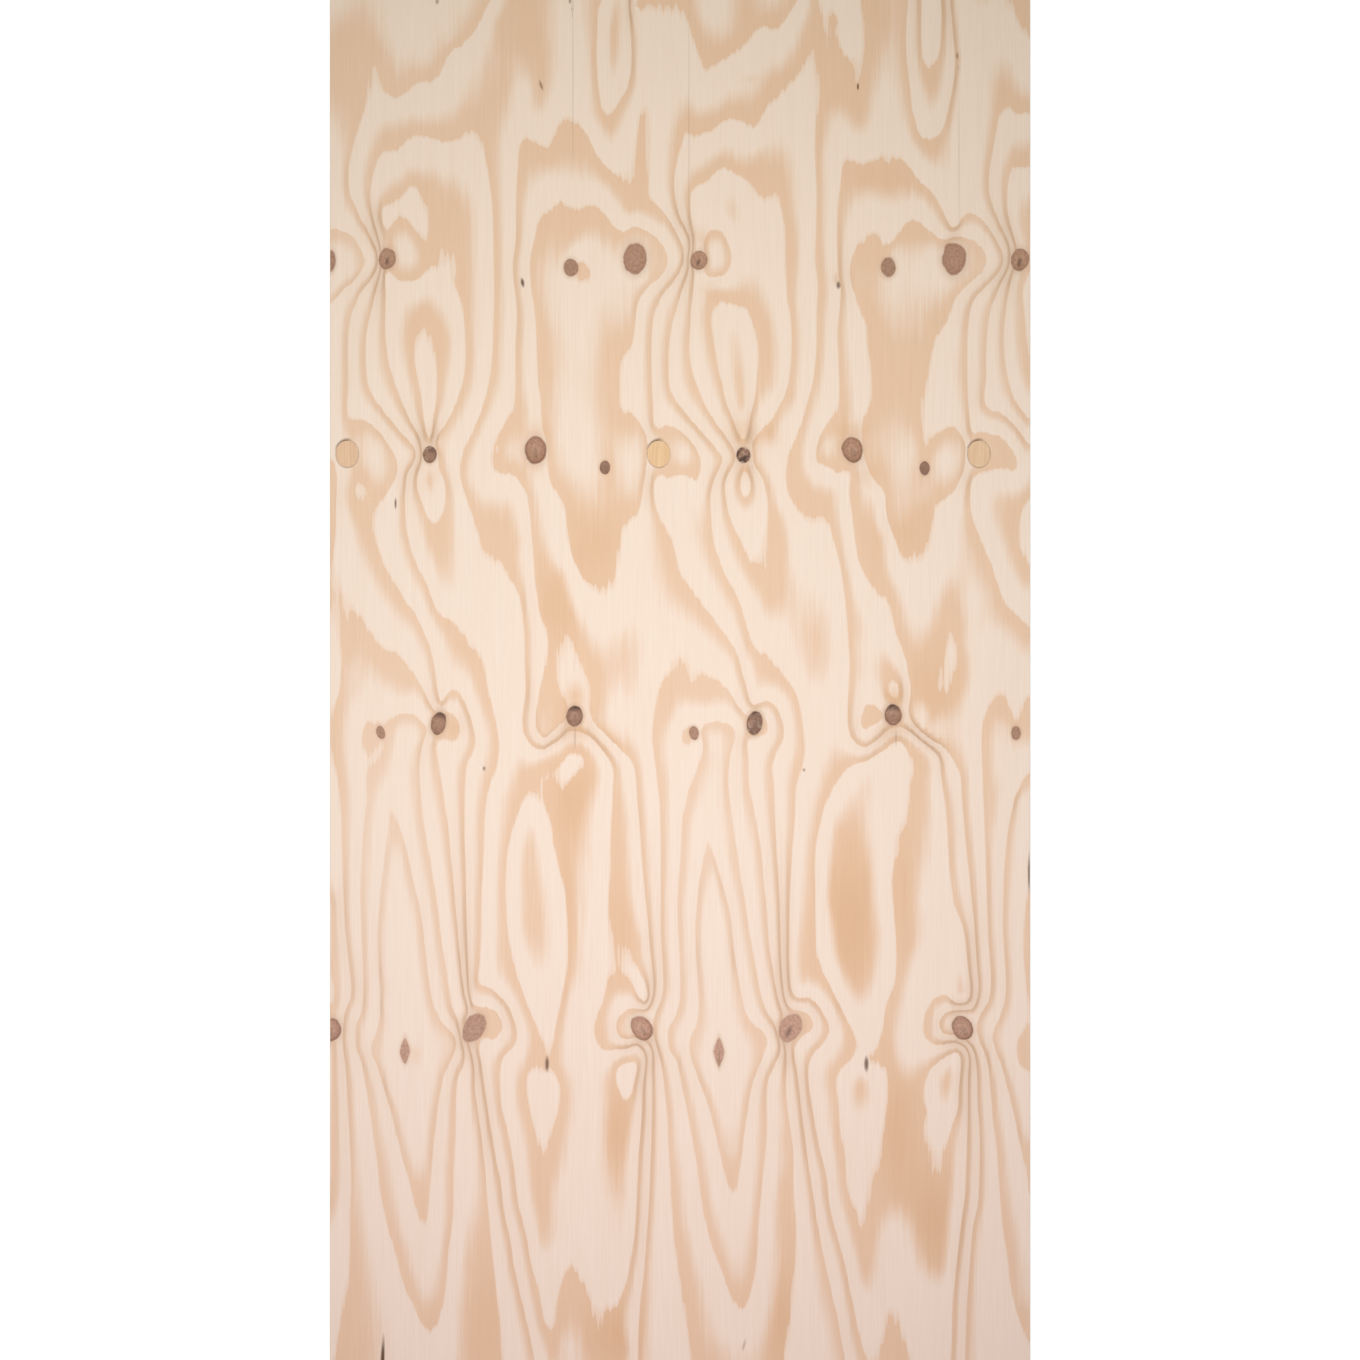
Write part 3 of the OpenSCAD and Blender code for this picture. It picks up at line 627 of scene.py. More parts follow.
# Pocket for each plug, cut to the bottom of the face veneer
plugNames = ["knot_plug_1", "knot_plug_2", "knot_plug_3"]
pocketFaces = []
for name in plugNames:
    low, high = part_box(name)
    middle = (low + high) / 2
    size = high - low
    reachX = size.x / 2 + sheetForm["plugMargin"]
    reachY = size.y / 2 + sheetForm["plugMargin"]
    lifted = []
    for f in bm.faces:
        away = f.calc_center_median() - middle
        if abs(away.x) < reachX and abs(away.y) < reachY:
            lifted.append(f)
    gone = set(lifted)
    bm.edges.index_update()
    rim = inOrder({e for f in lifted for e in f.edges if not set(e.link_faces) <= gone})
    bmesh.ops.delete(bm, geom=lifted, context="FACES")
    # a circle whose halves are drawn apart along the grain
    sides = sheetForm["plugSides"]
    turned = Matrix.Rotation(math.pi / sides, 4, "Z")
    mouth = bmesh.ops.create_circle(bm, segments=sides, radius=size.x / 2 + sheetForm["plugGap"],
                                    matrix=Matrix.Translation((middle.x, middle.y, faceZ)) @ turned)["verts"]
    for end in (-1, 1):
        half = [v for v in mouth if end * (v.co.y - middle.y) > 0]
        bmesh.ops.translate(bm, verts=half, vec=(0, end * (size.y - size.x) / 2, 0))
    bm.edges.index_update()
    mouthEdges = inOrder({e for v in mouth for e in v.link_edges})
    bmesh.ops.triangle_fill(bm, edges=rim + mouthEdges, use_beauty=True, normal=(0, 0, 1))
    walls = bmesh.ops.extrude_edge_only(bm, edges=mouthEdges)["geom"]
    bottom = [g for g in walls if isinstance(g, bmesh.types.BMVert)]
    bmesh.ops.translate(bm, verts=bottom, vec=(0, 0, -sheetForm["ply"]))
    bottomEdges = [g for g in walls if isinstance(g, bmesh.types.BMEdge) and set(g.verts) <= set(bottom)]
    pocketFaces += bmesh.ops.contextual_create(bm, geom=bottomEdges)["faces"]
    pocketFaces += [g for g in walls if isinstance(g, bmesh.types.BMFace)]
print("face veneer", len(bm.verts), "points with", len(plugNames), "pockets")

# Sanded arris, sawn edges and back, drawn down from the outer edge of the face
arris = sheetForm["arris"]
nearEdge = 1.5 * arris  # points as near the outline as this are moved to it
outer = [e for e in bm.edges if e.is_boundary]
edgeFaces = []
for inset, z in ((0, faceZ - arris), (0, arris), (arris, 0)):
    drawn = bmesh.ops.extrude_edge_only(bm, edges=outer)["geom"]
    edgeFaces += [g for g in drawn if isinstance(g, bmesh.types.BMFace)]
    verts = {g for g in drawn if isinstance(g, bmesh.types.BMVert)}
    for v in verts:
        if abs(v.co.x) > sheetHigh.x - nearEdge:
            v.co.x = math.copysign(sheetHigh.x - inset, v.co.x)
        if abs(v.co.y) > sheetHigh.y - nearEdge:
            v.co.y = math.copysign(sheetHigh.y - inset, v.co.y)
        v.co.z = z
    outer = [g for g in drawn if isinstance(g, bmesh.types.BMEdge) and set(g.verts) <= verts]
back = bmesh.ops.contextual_create(bm, geom=outer)["faces"]
bmesh.ops.recalc_face_normals(bm, faces=bm.faces)
# material places: 0 face, 1 long edges, 2 ends, 3 back and the ply under the plugs
for f in edgeFaces:
    f.normal_update()
    f.material_index = 1 if abs(f.normal.x) > abs(f.normal.y) else 2
for f in back + pocketFaces:
    f.material_index = 3
bm.verts.index_update()
pointCount = len(bm.verts)


def lowestCorners(f):
    # extruding leaves its faces in no set order, and a face's three first points tell it from all others
    first, second, third = sorted(v.index for v in f.verts)[:3]
    return (first * pointCount + second) * pointCount + third


bm.faces.sort(key=lowestCorners)
mesh = bpy.data.meshes.new("plywoodSheet")
bm.to_mesh(mesh)
bm.free()
sheet = bpy.data.objects.new("plywoodSheet", mesh)
bpy.context.scene.collection.objects.link(sheet)

# Values that the face's material reads from the points: ring height, and the place in the nearest mark

faceMarks = {
    "knotReach": 2.2, "flawReach": 14,  # how far a mark is known, in its own radii
    "spikePoint": 1.3,  # 2 is an oval, 1 a diamond
    "faceDepth": 0.1 * mm,  # points no lower than this are part of the face
    # photo pixels from ring to ring: where rings are wide, close or crowded, and where jags stop growing
    "wide": 60, "close": 24, "crowded": 8, "jagged": 40,
}
co = np.empty(len(mesh.vertices) * 3)
mesh.vertices.foreach_get("co", co)
co = co.reshape(-1, 3)


def nearestMark(marks, reach):
    # place in the nearest oval, whose rim is at 1, and how near it is; the oval's number; the distance
    places = np.zeros((len(co), 3))
    number = np.zeros(len(co), int)
    nearest = np.full(len(co), np.inf)
    for i, (markX, markY, halfWidth, halfHeight, lean, look) in enumerate(marks):
        x, y = onBoard(markX, markY)
        turn = math.radians(lean)
        dx, dy = co[:, 0] - x, co[:, 1] - y
        u = (dx * math.cos(turn) - dy * math.sin(turn)) / (halfWidth * pixel)
        v = (dx * math.sin(turn) + dy * math.cos(turn)) / (halfHeight * pixel)
        away = np.hypot(u, v)
        if look == "spike":  # a branch that was cut aslant is pointed at both ends
            point = faceMarks["spikePoint"]
            pointed = (np.abs(u) ** point + np.abs(v) ** point) ** (1 / point)
            stretch = pointed / np.maximum(away, tiny)
            u, v, away = u * stretch, v * stretch, pointed
        mine = away < nearest
        nearest[mine] = away[mine]
        places[mine, 0] = u[mine]
        places[mine, 1] = v[mine]
        number[mine] = i
    places[:, 2] = np.clip(reach - nearest, 0, 1)
    places[:, :2] /= np.maximum(nearest / reach, 1)[:, None]
    return places, number, nearest


def softPatches(patches):
    total = np.zeros(len(co))
    for patchX, patchY, halfWidth, halfHeight, share in patches:
        x, y = onBoard(patchX, patchY)
        away = np.hypot((co[:, 0] - x) / (halfWidth * pixel), (co[:, 1] - y) / (halfHeight * pixel))
        total += share * np.exp(-away ** 2)
    return total


plugMarks = []
for name in plugNames:
    low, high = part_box(name)
    middle = (low + high) / 2 / pixel
    half = (high - low) / 2 / pixel
    plugMarks.append((photo["centreX"] + middle.x, photo["centreY"] - middle.y, half.x, half.y, 0, "plug"))
knotPlace, knotNumber, knotAway = nearestMark(knots, faceMarks["knotReach"])
knotLook = np.array([knotLooks[knot[-1]] for knot in knots])[knotNumber]
flawPlace, flawNumber, _ = nearestMark(flaws + checks, faceMarks["flawReach"])
flawDark = np.array([flaw[-1] for flaw in flaws + checks])[flawNumber]
openAway = nearestMark(flaws, faceMarks["flawReach"])[2]
plugPlace = nearestMark(plugMarks, faceMarks["knotReach"])[0]
sink = sheetForm["knotSink"] * np.interp(knotAway, sheetForm["knotSlope"], (1, 0))
sink += sheetForm["flawSink"] * np.interp(openAway, sheetForm["flawSlope"], (1, 0))
co[:, 2] -= np.where(co[:, 2] > faceZ - faceMarks["faceDepth"], sink, 0)
mesh.vertices.foreach_set("co", co.ravel())
ringsPerPixel = sampleGrid(np.hypot(skinRise, skinRun), co) * pixel
wide, close, crowded = [1 / faceMarks[spacing] for spacing in ("wide", "close", "crowded")]
mostRise = 1 / (faceMarks["jagged"] * pixel)
pointValues = {
    "ringHeight": sampleGrid(ringSkin, co),
    "ringRise": np.clip(sampleGrid(skinRise, co), -mostRise, mostRise),
    "ringClose": np.interp(ringsPerPixel, (wide, close), (0, 1)),
    "ringSteep": np.interp(ringsPerPixel, (close, crowded), (0, 1)),
    "warm": softPatches(warmPatches), "stain": softPatches(stains), "flawDark": flawDark,
}
pointPlaces = {
    "knotPlace": knotPlace, "flawPlace": flawPlace, "plugPlace": plugPlace,
    "knotTone": knotLook[:, :3], "knotHeart": knotLook[:, 3:],
}
for name, values in pointValues.items():
    mesh.attributes.new(name, "FLOAT", "POINT").data.foreach_set("value", values)
for name, places in pointPlaces.items():
    mesh.attributes.new(name, "FLOAT_VECTOR", "POINT").data.foreach_set("vector", places.ravel())
mesh.calc_loop_triangles()
print("sheet mesh", len(mesh.loop_triangles), "triangles")
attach(sheet, "root")
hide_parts("plywood_sheet")

# Materials

mattSpecular = 0.15  # bare wood and matt paint hardly shine


def linear(hexColour):
    parts = [int(hexColour[i:i + 2], 16) / 255 for i in (1, 3, 5)]
    return [c / 12.92 if c < 0.04045 else ((c + 0.055) / 1.055) ** 2.4 for c in parts] + [1]


def addNode(tree, kind, inputs=(), stops=(), **settings):
    # inputs go by place among the sockets in use: a node, a socket or a plain value
    node = tree.nodes.new("ShaderNode" + kind)
    for key, value in settings.items():
        setattr(node, key, value)
    for socket, value in zip([s for s in node.inputs if s.enabled], inputs):
        if isinstance(value, bpy.types.Node):
            value = next(s for s in value.outputs if s.enabled)
        if isinstance(value, bpy.types.NodeSocket):
            tree.links.new(value, socket)
        elif value is not None:
            socket.default_value = value
    for i in range(len(stops) - 2):
        node.color_ramp.elements.new(1)
    for i, (place, colour) in enumerate(stops):
        node.color_ramp.elements[i].position = place
        node.color_ramp.elements[i].color = linear(colour)
    return node


def newMaterial(name, roughness):
    material = bpy.data.materials.new(name)
    material.use_nodes = True
    shader = material.node_tree.nodes["Principled BSDF"]
    shader.inputs["Roughness"].default_value = roughness
    shader.inputs["Specular IOR Level"].default_value = mattSpecular
    return material, material.node_tree, shader


def streaks(tree, place, size):
    # noise: the real size of its patches across and along the grain, and how finely they break up
    across, along, detail = size
    scaled = addNode(tree, "Mapping", [place, None, None, (1 / across, 1 / along, 1 / across)])
    return addNode(tree, "TexNoise", [scaled, 1, detail])


def markPlace(tree, name):
    # distance from the middle of the nearest mark, its two parts and how near it is
    whole = addNode(tree, "Attribute", attribute_name=name).outputs["Vector"]
    flat = addNode(tree, "VectorMath", [whole, (1, 1, 0)], operation="MULTIPLY")
    parts = addNode(tree, "SeparateXYZ", [whole]).outputs
    return addNode(tree, "VectorMath", [flat], operation="LENGTH"), parts["X"], parts["Y"], parts["Z"]


pine = {
    "cream": "#FCE9D8", "tan": "#F1CEAF", "deep": "#E9C19C", "crowd": "#D3B498", "crowdMost": 0.75,
    "lateFrom": 0.42, "lateFull": 0.84, "lateShare": 0.97, "latest": 1.5,
    "edge": (0.05, 0, 0, 0.5),  # the hard edge fades over this first part of the next ring
    "closeLate": 0.06, "closePale": 0.1, "crowded": 0.3,
    "feather": 0.12, "featherSize": (5 * mm, 110 * mm, 3),
    "jag": 5 * mm, "jagSize": (12 * mm, 60 * mm, 2),
    "fray": 0.06, "fraySize": (6 * mm, 140 * mm, 2),
    # real fibres are far finer: they are drawn as coarse as the render can show
    "fibre": [(0.3, "#FAF7F4"), (0.7, "#FFFFFF")], "fibreSize": (1.4 * mm, 90 * mm, 3),
    "drift": [(0, "#FFF8FA"), (0.3, "#FFFCFD"), (0.6, "#FFFEFD"), (1, "#FFFDF7")],  # from foot to head
    "roughness": 0.7,
}


def ringColour(tree, place, height, close, warm, stain):
    # one growth ring: pale early wood that turns tan in feathered streaks, then ends in a hard edge
    part = addNode(tree, "Math", [height], operation="FRACT")
    feather = addNode(tree, "Math", [streaks(tree, place, pine["featherSize"]), 0.5], operation="SUBTRACT")
    soft = addNode(tree, "Math", [feather, 2 * pine["feather"], part], operation="MULTIPLY_ADD")
    soft = addNode(tree, "Math", [close, -pine["closeLate"], soft], operation="MULTIPLY_ADD")
    late = addNode(tree, "MapRange", [soft, pine["lateFrom"], pine["lateFull"]],
                   interpolation_type="SMOOTHSTEP")
    edge = addNode(tree, "MapRange", [part, *pine["edge"]])
    late = addNode(tree, "Math", [late, edge], operation="MAXIMUM")
    late = addNode(tree, "Math", [late, warm, stain], operation="MULTIPLY_ADD")
    share = addNode(tree, "Math", [late, pine["latest"]], operation="DIVIDE")
    stops = [(0, pine["cream"]), (1 / pine["latest"], pine["tan"]), (1, pine["deep"])]
    return addNode(tree, "ValToRGB", [share], stops), late


# Face: rotary cut pine veneer, sanded and not sealed, so it is matt with a fine fibre along the grain
faceMaterial, tree, shader = newMaterial("sandedPineVeneer", pine["roughness"])
place = addNode(tree, "TexCoord").outputs["Object"]
read = {}
for name in pointValues:
    read[name] = addNode(tree, "Attribute", attribute_name=name).outputs["Fac"]
# the knife tore the ring edges into jags where they cross the grain
jag = addNode(tree, "Math", [streaks(tree, place, pine["jagSize"]), 2 * pine["jag"], -pine["jag"]],
              operation="MULTIPLY_ADD")
height = addNode(tree, "Math", [read["ringRise"], jag, read["ringHeight"]], operation="MULTIPLY_ADD")
fray = addNode(tree, "Math", [streaks(tree, place, pine["fraySize"]), 0.5], operation="SUBTRACT")
height = addNode(tree, "Math", [fray, 2 * pine["fray"], height], operation="MULTIPLY_ADD")
# close rings have a thinner and paler late wood, and where they crowd at a knot they run together
warm = addNode(tree, "Math", [read["ringClose"], -pine["closePale"], read["warm"]], operation="MULTIPLY_ADD")
warm = addNode(tree, "Math", [warm, pine["lateShare"]], operation="ADD")
stain = addNode(tree, "Math", [read["ringSteep"], pine["crowded"], read["stain"]], operation="MULTIPLY_ADD")
colour, late = ringColour(tree, place, height, read["ringClose"], warm, stain)
crowd = addNode(tree, "Math", [read["ringSteep"], late], operation="MULTIPLY")
crowd = addNode(tree, "Math", [crowd, pine["crowdMost"]], operation="MULTIPLY")
colour = addNode(tree, "Mix", [crowd, colour, linear(pine["crowd"])], data_type="RGBA")
fibre = addNode(tree, "ValToRGB", [streaks(tree, place, pine["fibreSize"])], pine["fibre"])
along = addNode(tree, "SeparateXYZ", [place]).outputs["Y"]
along = addNode(tree, "MapRange", [along, sheetLow.y, sheetHigh.y])
drift = addNode(tree, "ValToRGB", [along], pine["drift"])
for tint in (fibre, drift):
    colour = addNode(tree, "Mix", [1, colour, tint], data_type="RGBA", blend_type="MULTIPLY")

# Knots: the branches' end grain, dark with resin and with bark on the rim; dead ones have gone black
knotWood = {
    "sound": ("#D5AB94", "#D3A894"), "resin": ("#81665D", "#8B6154"),  # brown and red
    "drift": [(0.28, "#FFFFFF"), (0.47, "#FAF7F0"), (0.66, "#F5F3E8")],  # from foot to head
    "wobble": 0.3, "wobbleSize": (20 * mm, 20 * mm, 1),
    "mottle": [(0.35, "#E4DFDC"), (0.65, "#FFFFFF")], "mottleSize": (4 * mm, 5 * mm, 2), "ringWobble": 0.15,
    "rings": [(0.4, "#FFFFFF"), (0.52, "#E4DAD3"), (0.62, "#F2ECE8"), (0.76, "#DDD1CA"), (0.88, "#C4B5AC"),
              (0.95, "#96857B"), (1.05, "#D8CDC6")],
    "lower": (1, -1, 0.5, 1),  # bark is thicker on the lower rim
    "black": "#46332F", "blotch": (0.56, 0.46, 0, 0.85), "blotchSize": (18 * mm, 20 * mm, 1),
    "upper": (0.25, 0.85, 0, 0.8),
    "speck": "#D2B9A6", "specks": (0.56, 0.66, 0, 0.7), "speckSize": (9 * mm, 7 * mm, 2),
    "pith": "#56403A", "pithFade": (0.34, 0.08, 0, 0.75), "pithLength": 0.6, "pithLow": 0.16,
    "rim": (1.07, 0.94), "halo": "#D9B496", "haloFade": (1.6, 1.0, 0), "haloMost": 0.45, "capHalo": 0.35,
}
away, knotU, knotV, near = markPlace(tree, "knotPlace")
tone = addNode(tree, "Attribute", attribute_name="knotTone").outputs["Vector"]
heart = addNode(tree, "Attribute", attribute_name="knotHeart").outputs["Vector"]
dark, red, bark = addNode(tree, "SeparateXYZ", [tone]).outputs
pith, black, cap = addNode(tree, "SeparateXYZ", [heart]).outputs
wobble = streaks(tree, place, knotWood["wobbleSize"])
away = addNode(tree, "Math", [wobble, knotWood["wobble"], away], operation="MULTIPLY_ADD")
away = addNode(tree, "Math", [away, knotWood["wobble"] / 2], operation="SUBTRACT")
sound = addNode(tree, "Mix", [red, *map(linear, knotWood["sound"])], data_type="RGBA")
resin = addNode(tree, "Mix", [red, *map(linear, knotWood["resin"])], data_type="RGBA")
knotColour = addNode(tree, "Mix", [dark, sound, resin], data_type="RGBA")
drift = addNode(tree, "ValToRGB", [along], knotWood["drift"])
mottle = streaks(tree, place, knotWood["mottleSize"])
patchy = addNode(tree, "ValToRGB", [mottle], knotWood["mottle"])
uneven = addNode(tree, "Math", [mottle, 0.5], operation="SUBTRACT")
uneven = addNode(tree, "Math", [uneven, knotWood["ringWobble"], away], operation="MULTIPLY_ADD")
rings = addNode(tree, "ValToRGB", [uneven], knotWood["rings"])
lower = addNode(tree, "MapRange", [knotV, *knotWood["lower"]])
bark = addNode(tree, "Math", [bark, lower], operation="MULTIPLY")
for share, tint in ((1, drift), (1, patchy), (bark, rings)):
    knotColour = addNode(tree, "Mix", [share, knotColour, tint], data_type="RGBA", blend_type="MULTIPLY")
# black patches and a black upper side, pale specks in them, and the pith a little below the middle
blotch = addNode(tree, "MapRange", [streaks(tree, place, knotWood["blotchSize"]), *knotWood["blotch"]])
blotch = addNode(tree, "Math", [blotch, black], operation="MULTIPLY")
upper = addNode(tree, "MapRange", [knotV, *knotWood["upper"]])
upper = addNode(tree, "Math", [upper, cap], operation="MULTIPLY")
blotch = addNode(tree, "Math", [blotch, upper], operation="MAXIMUM")
speck = addNode(tree, "MapRange", [streaks(tree, place, knotWood["speckSize"]), *knotWood["specks"]])
speck = addNode(tree, "Math", [speck, black], operation="MULTIPLY")
pithV = addNode(tree, "Math", [knotV, knotWood["pithLength"], knotWood["pithLow"]], operation="MULTIPLY_ADD")
pithAway = addNode(tree, "VectorMath", [addNode(tree, "CombineXYZ", [knotU, pithV])], operation="LENGTH")
inPith = addNode(tree, "MapRange", [pithAway, *knotWood["pithFade"]])
pith = addNode(tree, "Math", [inPith, pith], operation="MULTIPLY")
for share, name in ((blotch, "black"), (speck, "speck"), (pith, "pith")):
    knotColour = addNode(tree, "Mix", [share, knotColour, linear(knotWood[name])], data_type="RGBA")
# the outline of the knot, and a resin halo round it
haloMost = addNode(tree, "Math", [cap, knotWood["capHalo"], knotWood["haloMost"]], operation="MULTIPLY_ADD")
halo = addNode(tree, "MapRange", [away, *knotWood["haloFade"], haloMost])
halo = addNode(tree, "Math", [halo, near], operation="MULTIPLY")
isNear = addNode(tree, "Math", [near, 0.5], operation="GREATER_THAN")
inKnot = addNode(tree, "MapRange", [away, *knotWood["rim"], 0, isNear])

# Flaws: bark and dirt caught in slits, pin knots and checks, so they are short dull strokes along the grain
flawDirt = {"dirt": "#6B5040", "fade": (1.5, 0.6)}
away, _, _, near = markPlace(tree, "flawPlace")
inFlaw = addNode(tree, "MapRange", [away, *flawDirt["fade"], 0, read["flawDark"]])
inFlaw = addNode(tree, "Math", [inFlaw, near], operation="MULTIPLY")

# Round each plug: painted shade of the gap in a thin dark ring all round, and a painted shadow crescent in
# the gap on its upper left
plugGapShade = {
    "paintedGapShade": "#7E5E46", "joint": (1.13, 1.03, 0, 0.5),
    "paintedShadowCrescent": (1.26, 1.04), "lean": -0.5, "upper": (0.75, 1.1),
}
away, plugU, plugV, near = markPlace(tree, "plugPlace")
# the painted shadow in the gap is strongest on the plug's upper left
upper = addNode(tree, "Math", [plugU, plugGapShade["lean"], plugV], operation="MULTIPLY_ADD")
upper = addNode(tree, "MapRange", [upper, *plugGapShade["upper"]])
paintedShadowCrescent = addNode(tree, "MapRange", [away, *plugGapShade["paintedShadowCrescent"], 0, upper])
joint = addNode(tree, "MapRange", [away, *plugGapShade["joint"]])
paintedGapShade = addNode(tree, "Math", [paintedShadowCrescent, joint], operation="MAXIMUM")
paintedGapShade = addNode(tree, "Math", [paintedGapShade, near], operation="MULTIPLY")

# All of these lie over the plain wood, in this order
layers = (
    (halo, linear(knotWood["halo"])), (inKnot, knotColour),
    # last comes the painted shade and shadow of the gap round each plug
    (inFlaw, linear(flawDirt["dirt"])), (paintedGapShade, linear(plugGapShade["paintedGapShade"])),
)
for share, over in layers:
    colour = addNode(tree, "Mix", [share, colour, over], data_type="RGBA")
tree.links.new(colour.outputs[2], shader.inputs["Base Color"])

# Edges: sawn through plies that lie crosswise, so pale side grain and darker, open end grain come by turns
sawnEdge = {
    "side": [(0.3, "#EFD2B0"), (0.7, "#F7E2C8")], "sideSize": (30 * mm, 30 * mm, 2),
    "end": [(0.3, "#C79F77"), (0.7, "#E3C29D")], "endSize": (2 * mm, 2 * mm, 3),
    "glue": "#6E4A33", "glueHalf": 0.04,  # half of a glue line, in plies
    "roughness": 0.85,
}


def edgeMaterial(name, firstTurn):
    material, tree, shader = newMaterial(name, sawnEdge["roughness"])
    place = addNode(tree, "TexCoord").outputs["Object"]
    layer = addNode(tree, "SeparateXYZ", [place]).outputs["Z"]
    layer = addNode(tree, "Math", [layer, sheetForm["ply"]], operation="DIVIDE")
    turn = addNode(tree, "Math", [layer, firstTurn], operation="ADD")
    odd = addNode(tree, "Math", [addNode(tree, "Math", [turn], operation="FLOOR"), 2], operation="MODULO")
    side = addNode(tree, "ValToRGB", [streaks(tree, place, sawnEdge["sideSize"])], sawnEdge["side"])
    end = addNode(tree, "ValToRGB", [streaks(tree, place, sawnEdge["endSize"])], sawnEdge["end"])
    colour = addNode(tree, "Mix", [odd, side, end], data_type="RGBA")
    toGlue = addNode(tree, "Math", [layer, 0.5], operation="PINGPONG")
    glue = addNode(tree, "Math", [toGlue, sawnEdge["glueHalf"]], operation="LESS_THAN")
    colour = addNode(tree, "Mix", [glue, colour, linear(sawnEdge["glue"])], data_type="RGBA")
    tree.links.new(colour.outputs[2], shader.inputs["Base Color"])
    return material


# Back: the same peeled pine, less sanded, so its fibre is stronger; its rings are taken from stretched noise
backPine = {
    "rings": 9, "ringSize": (300 * mm, 1200 * mm, 1), "late": 0.92,
    "fray": 0.2, "fraySize": (4 * mm, 160 * mm, 2),
    "fibre": [(0.3, "#EEE8E2"), (0.7, "#FFFFFF")], "fibreSize": (1.2 * mm, 70 * mm, 3),  # coarse, to show
    "roughness": 0.8,
}
backMaterial, tree, shader = newMaterial("pineBackVeneer", backPine["roughness"])
place = addNode(tree, "TexCoord").outputs["Object"]
fray = streaks(tree, place, backPine["fraySize"])
fray = addNode(tree, "Math", [fray, backPine["fray"]], operation="MULTIPLY")
height = streaks(tree, place, backPine["ringSize"])
height = addNode(tree, "Math", [height, backPine["rings"], fray], operation="MULTIPLY_ADD")
colour, _ = ringColour(tree, place, height, 0, backPine["late"], 0)
fibre = addNode(tree, "ValToRGB", [streaks(tree, place, backPine["fibreSize"])], backPine["fibre"])
colour = addNode(tree, "Mix", [1, colour, fibre], data_type="RGBA", blend_type="MULTIPLY")
tree.links.new(colour.outputs[2], shader.inputs["Base Color"])
longEdge = edgeMaterial("sawnLongEdgePlies", 0)
endEdge = edgeMaterial("sawnEndPlies", 1)
for material in (faceMaterial, longEdge, endEdge, backMaterial):
    mesh.materials.append(material)

# Plugs: cut from clear pine, glued in and sanded with the face, so they are as matt as it is
plugPine = {
    "strip": [(0.2, "#EFCBA9"), (0.5, "#F5D1A4"), (0.8, "#F1CFAB")],  # one plug after another, from the left
    "fibre": [(0.3, "#F2EAE2"), (0.7, "#FFFFFF")], "fibreSize": (3 * mm, 60 * mm, 3),  # coarse, to show
    "roughness": 0.7,
}
plugMaterial, tree, shader = newMaterial("pinePlug", plugPine["roughness"])
place = addNode(tree, "TexCoord").outputs["Object"]
across = addNode(tree, "SeparateXYZ", [place]).outputs["X"]
across = addNode(tree, "MapRange", [across, sheetLow.x, sheetHigh.x])
strip = addNode(tree, "ValToRGB", [across], plugPine["strip"])
fibre = addNode(tree, "ValToRGB", [streaks(tree, place, plugPine["fibreSize"])], plugPine["fibre"])
colour = addNode(tree, "Mix", [1, strip, fibre], data_type="RGBA", blend_type="MULTIPLY")
tree.links.new(colour.outputs[2], shader.inputs["Base Color"])
for name in plugNames:
    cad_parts[name].data.materials.clear()
    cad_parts[name].data.materials.append(plugMaterial)
print("materials", len(bpy.data.materials))

# Floor: painted white, open under the board so that the back can be looked at from below

floorSettings = {
    "half": 20, "lap": 2 * mm, "drop": 0.2 * mm, "colour": "#F2F2F2", "glow": 0.68, "roughness": 0.9,
}
floorMesh = bpy.data.meshes.new("floor")
bm = bmesh.new()
bmesh.ops.create_grid(bm, x_segments=3, y_segments=3, size=floorSettings["half"])
opening = sheetHigh - Vector((floorSettings["lap"], floorSettings["lap"], 0))
for v in bm.verts:
    if abs(v.co.x) < floorSettings["half"] / 2:
        v.co.x = math.copysign(opening.x, v.co.x)
    if abs(v.co.y) < floorSettings["half"] / 2:
        v.co.y = math.copysign(opening.y, v.co.y)
    v.co.z = -floorSettings["drop"]
inner = {v for v in bm.verts if abs(v.co.x) < sheetHigh.x and abs(v.co.y) < sheetHigh.y}
underBoard = [f for f in bm.faces if set(f.verts) <= inner]
bmesh.ops.delete(bm, geom=underBoard, context="FACES_ONLY")
bm.to_mesh(floorMesh)
bm.free()
floor = bpy.data.objects.new("floor", floorMesh)
bpy.context.scene.collection.objects.link(floor)


def whenSeen(tree, seenLevel, litLevel):
    # one strength for the camera's rays and for reflections, another for the light that falls on the board
    rays = addNode(tree, "LightPath").outputs
    seen = addNode(tree, "Math", [rays["Is Camera Ray"], rays["Is Glossy Ray"]], operation="ADD")
    seen = addNode(tree, "Math", [seen, rays["Is Transmission Ray"]], operation="ADD")
    strength = addNode(tree, "Math", [seen, seenLevel - litLevel, litLevel], operation="MULTIPLY_ADD")
    return strength.outputs[0]


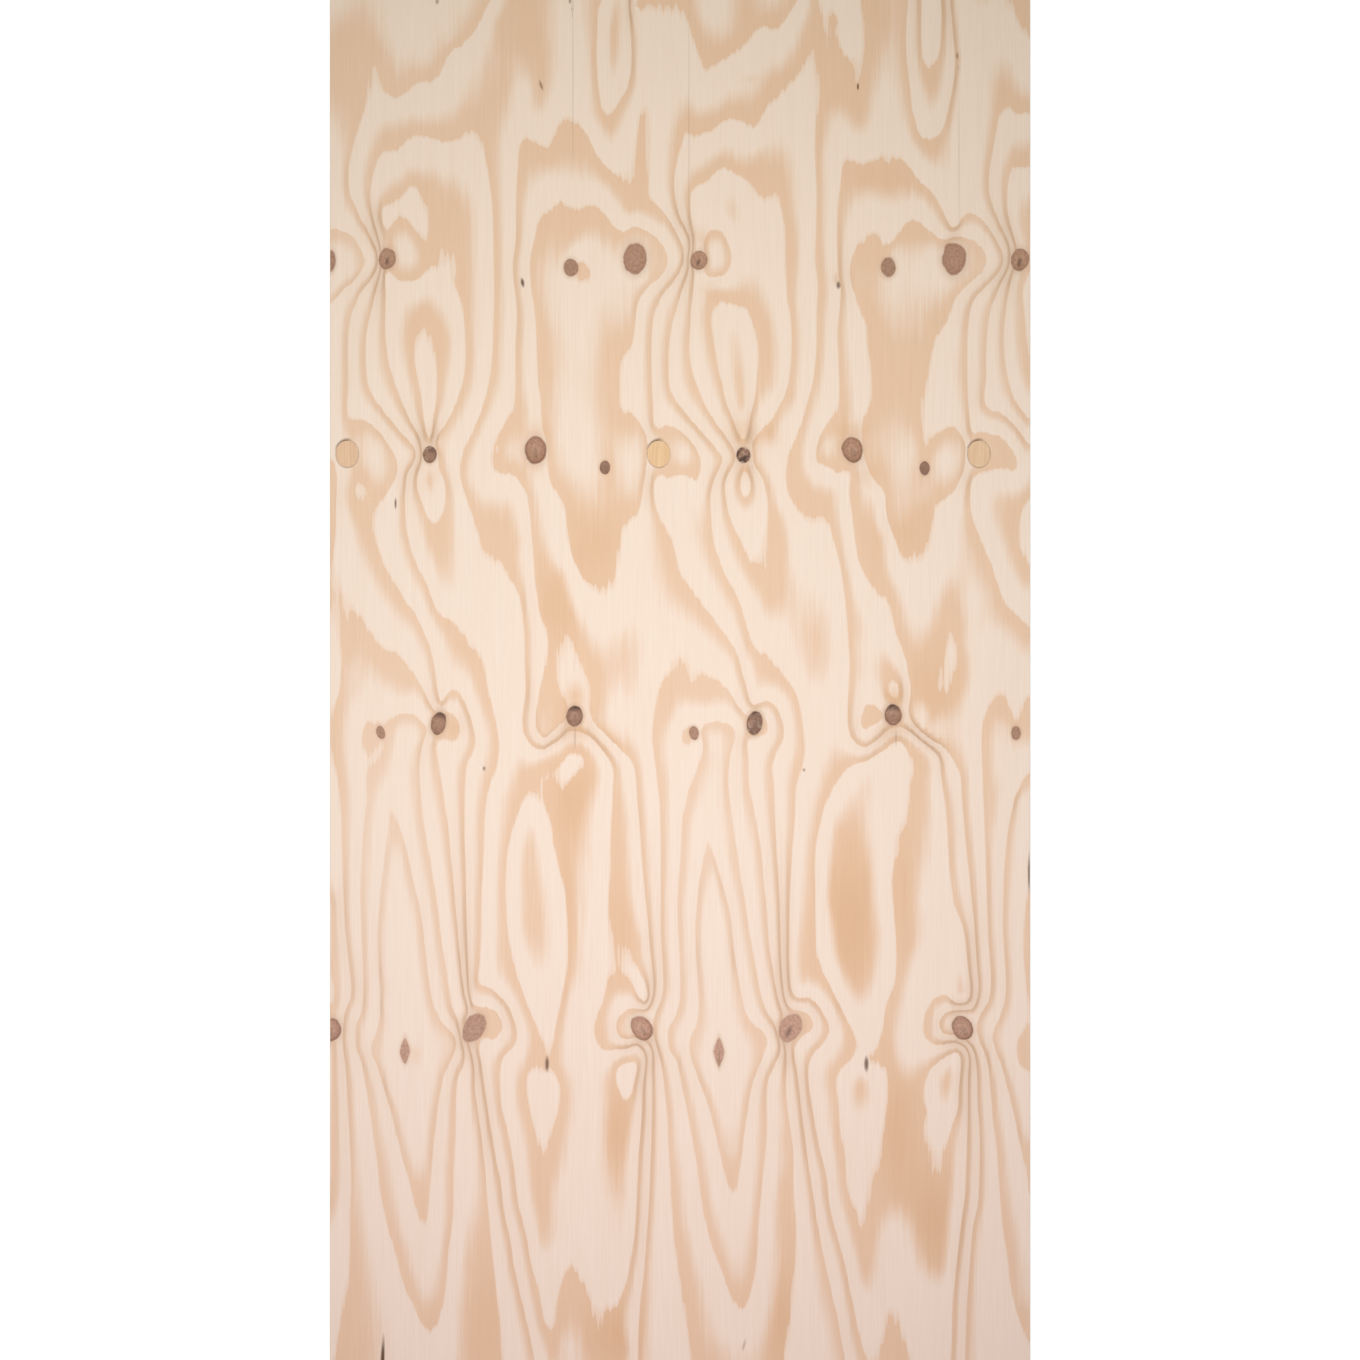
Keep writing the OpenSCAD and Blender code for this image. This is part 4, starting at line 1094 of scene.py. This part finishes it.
# matt white paint: the camera sees it as white, and it still takes the shadow
floorMaterial, tree, shader = newMaterial("paintedWhiteFloor", floorSettings["roughness"])
shader.inputs["Base Color"].default_value = linear(floorSettings["colour"])
shader.inputs["Emission Color"].default_value = linear("#FFFFFF")
tree.links.new(whenSeen(tree, floorSettings["glow"], 0), shader.inputs["Emission Strength"])
floorMesh.materials.append(floorMaterial)

# Light: one soft lamp over the face, one as far below the open floor for the back, and a pale sky
lampSettings = {
    "x": 625, "y": 740, "height": 2.3, "width": 0.8, "length": 2.6, "power": 52.9, "skyLevel": 0.17,
}
lampX, lampY = onBoard(lampSettings["x"], lampSettings["y"])
lampPlaces = (
    ("faceLamp", faceZ + lampSettings["height"], 0), ("backLamp", -lampSettings["height"], math.pi),
)
for name, lampZ, turn in lampPlaces:
    lampData = bpy.data.lights.new(name, "AREA")
    lampData.shape = "RECTANGLE"
    lampData.size = lampSettings["width"]
    lampData.size_y = lampSettings["length"]
    lampData.energy = lampSettings["power"]
    lamp = bpy.data.objects.new(name, lampData)
    lamp.location = (lampX, lampY, lampZ)
    lamp.rotation_euler = (0, turn, 0)
    lamp.visible_camera = False
    bpy.context.scene.collection.objects.link(lamp)
world = bpy.data.worlds.new("softSky")
bpy.context.scene.world = world
world.use_nodes = True
tree = world.node_tree
sky = tree.nodes["Background"]
sky.inputs["Color"].default_value = linear("#FFFFFF")
tree.links.new(whenSeen(tree, 1, lampSettings["skyLevel"]), sky.inputs["Strength"])

# Camera: straight above the board, with a long lens as the photograph has
cameraSettings = {"lens": 200, "sensor": 36, "clipEnd": 100}
cameraData = bpy.data.cameras.new("camera")
cameraData.lens = cameraSettings["lens"]
cameraData.sensor_width = cameraSettings["sensor"]
cameraData.clip_end = cameraSettings["clipEnd"]
camera = bpy.data.objects.new("camera", cameraData)
fieldWidth = photo["size"] * pixel
camera.location = (0, 0, faceZ + fieldWidth * cameraSettings["lens"] / cameraSettings["sensor"])
bpy.context.scene.collection.objects.link(camera)
bpy.context.scene.camera = camera
bpy.context.scene.view_settings.view_transform = "Standard"
print("floor, lamps and camera")
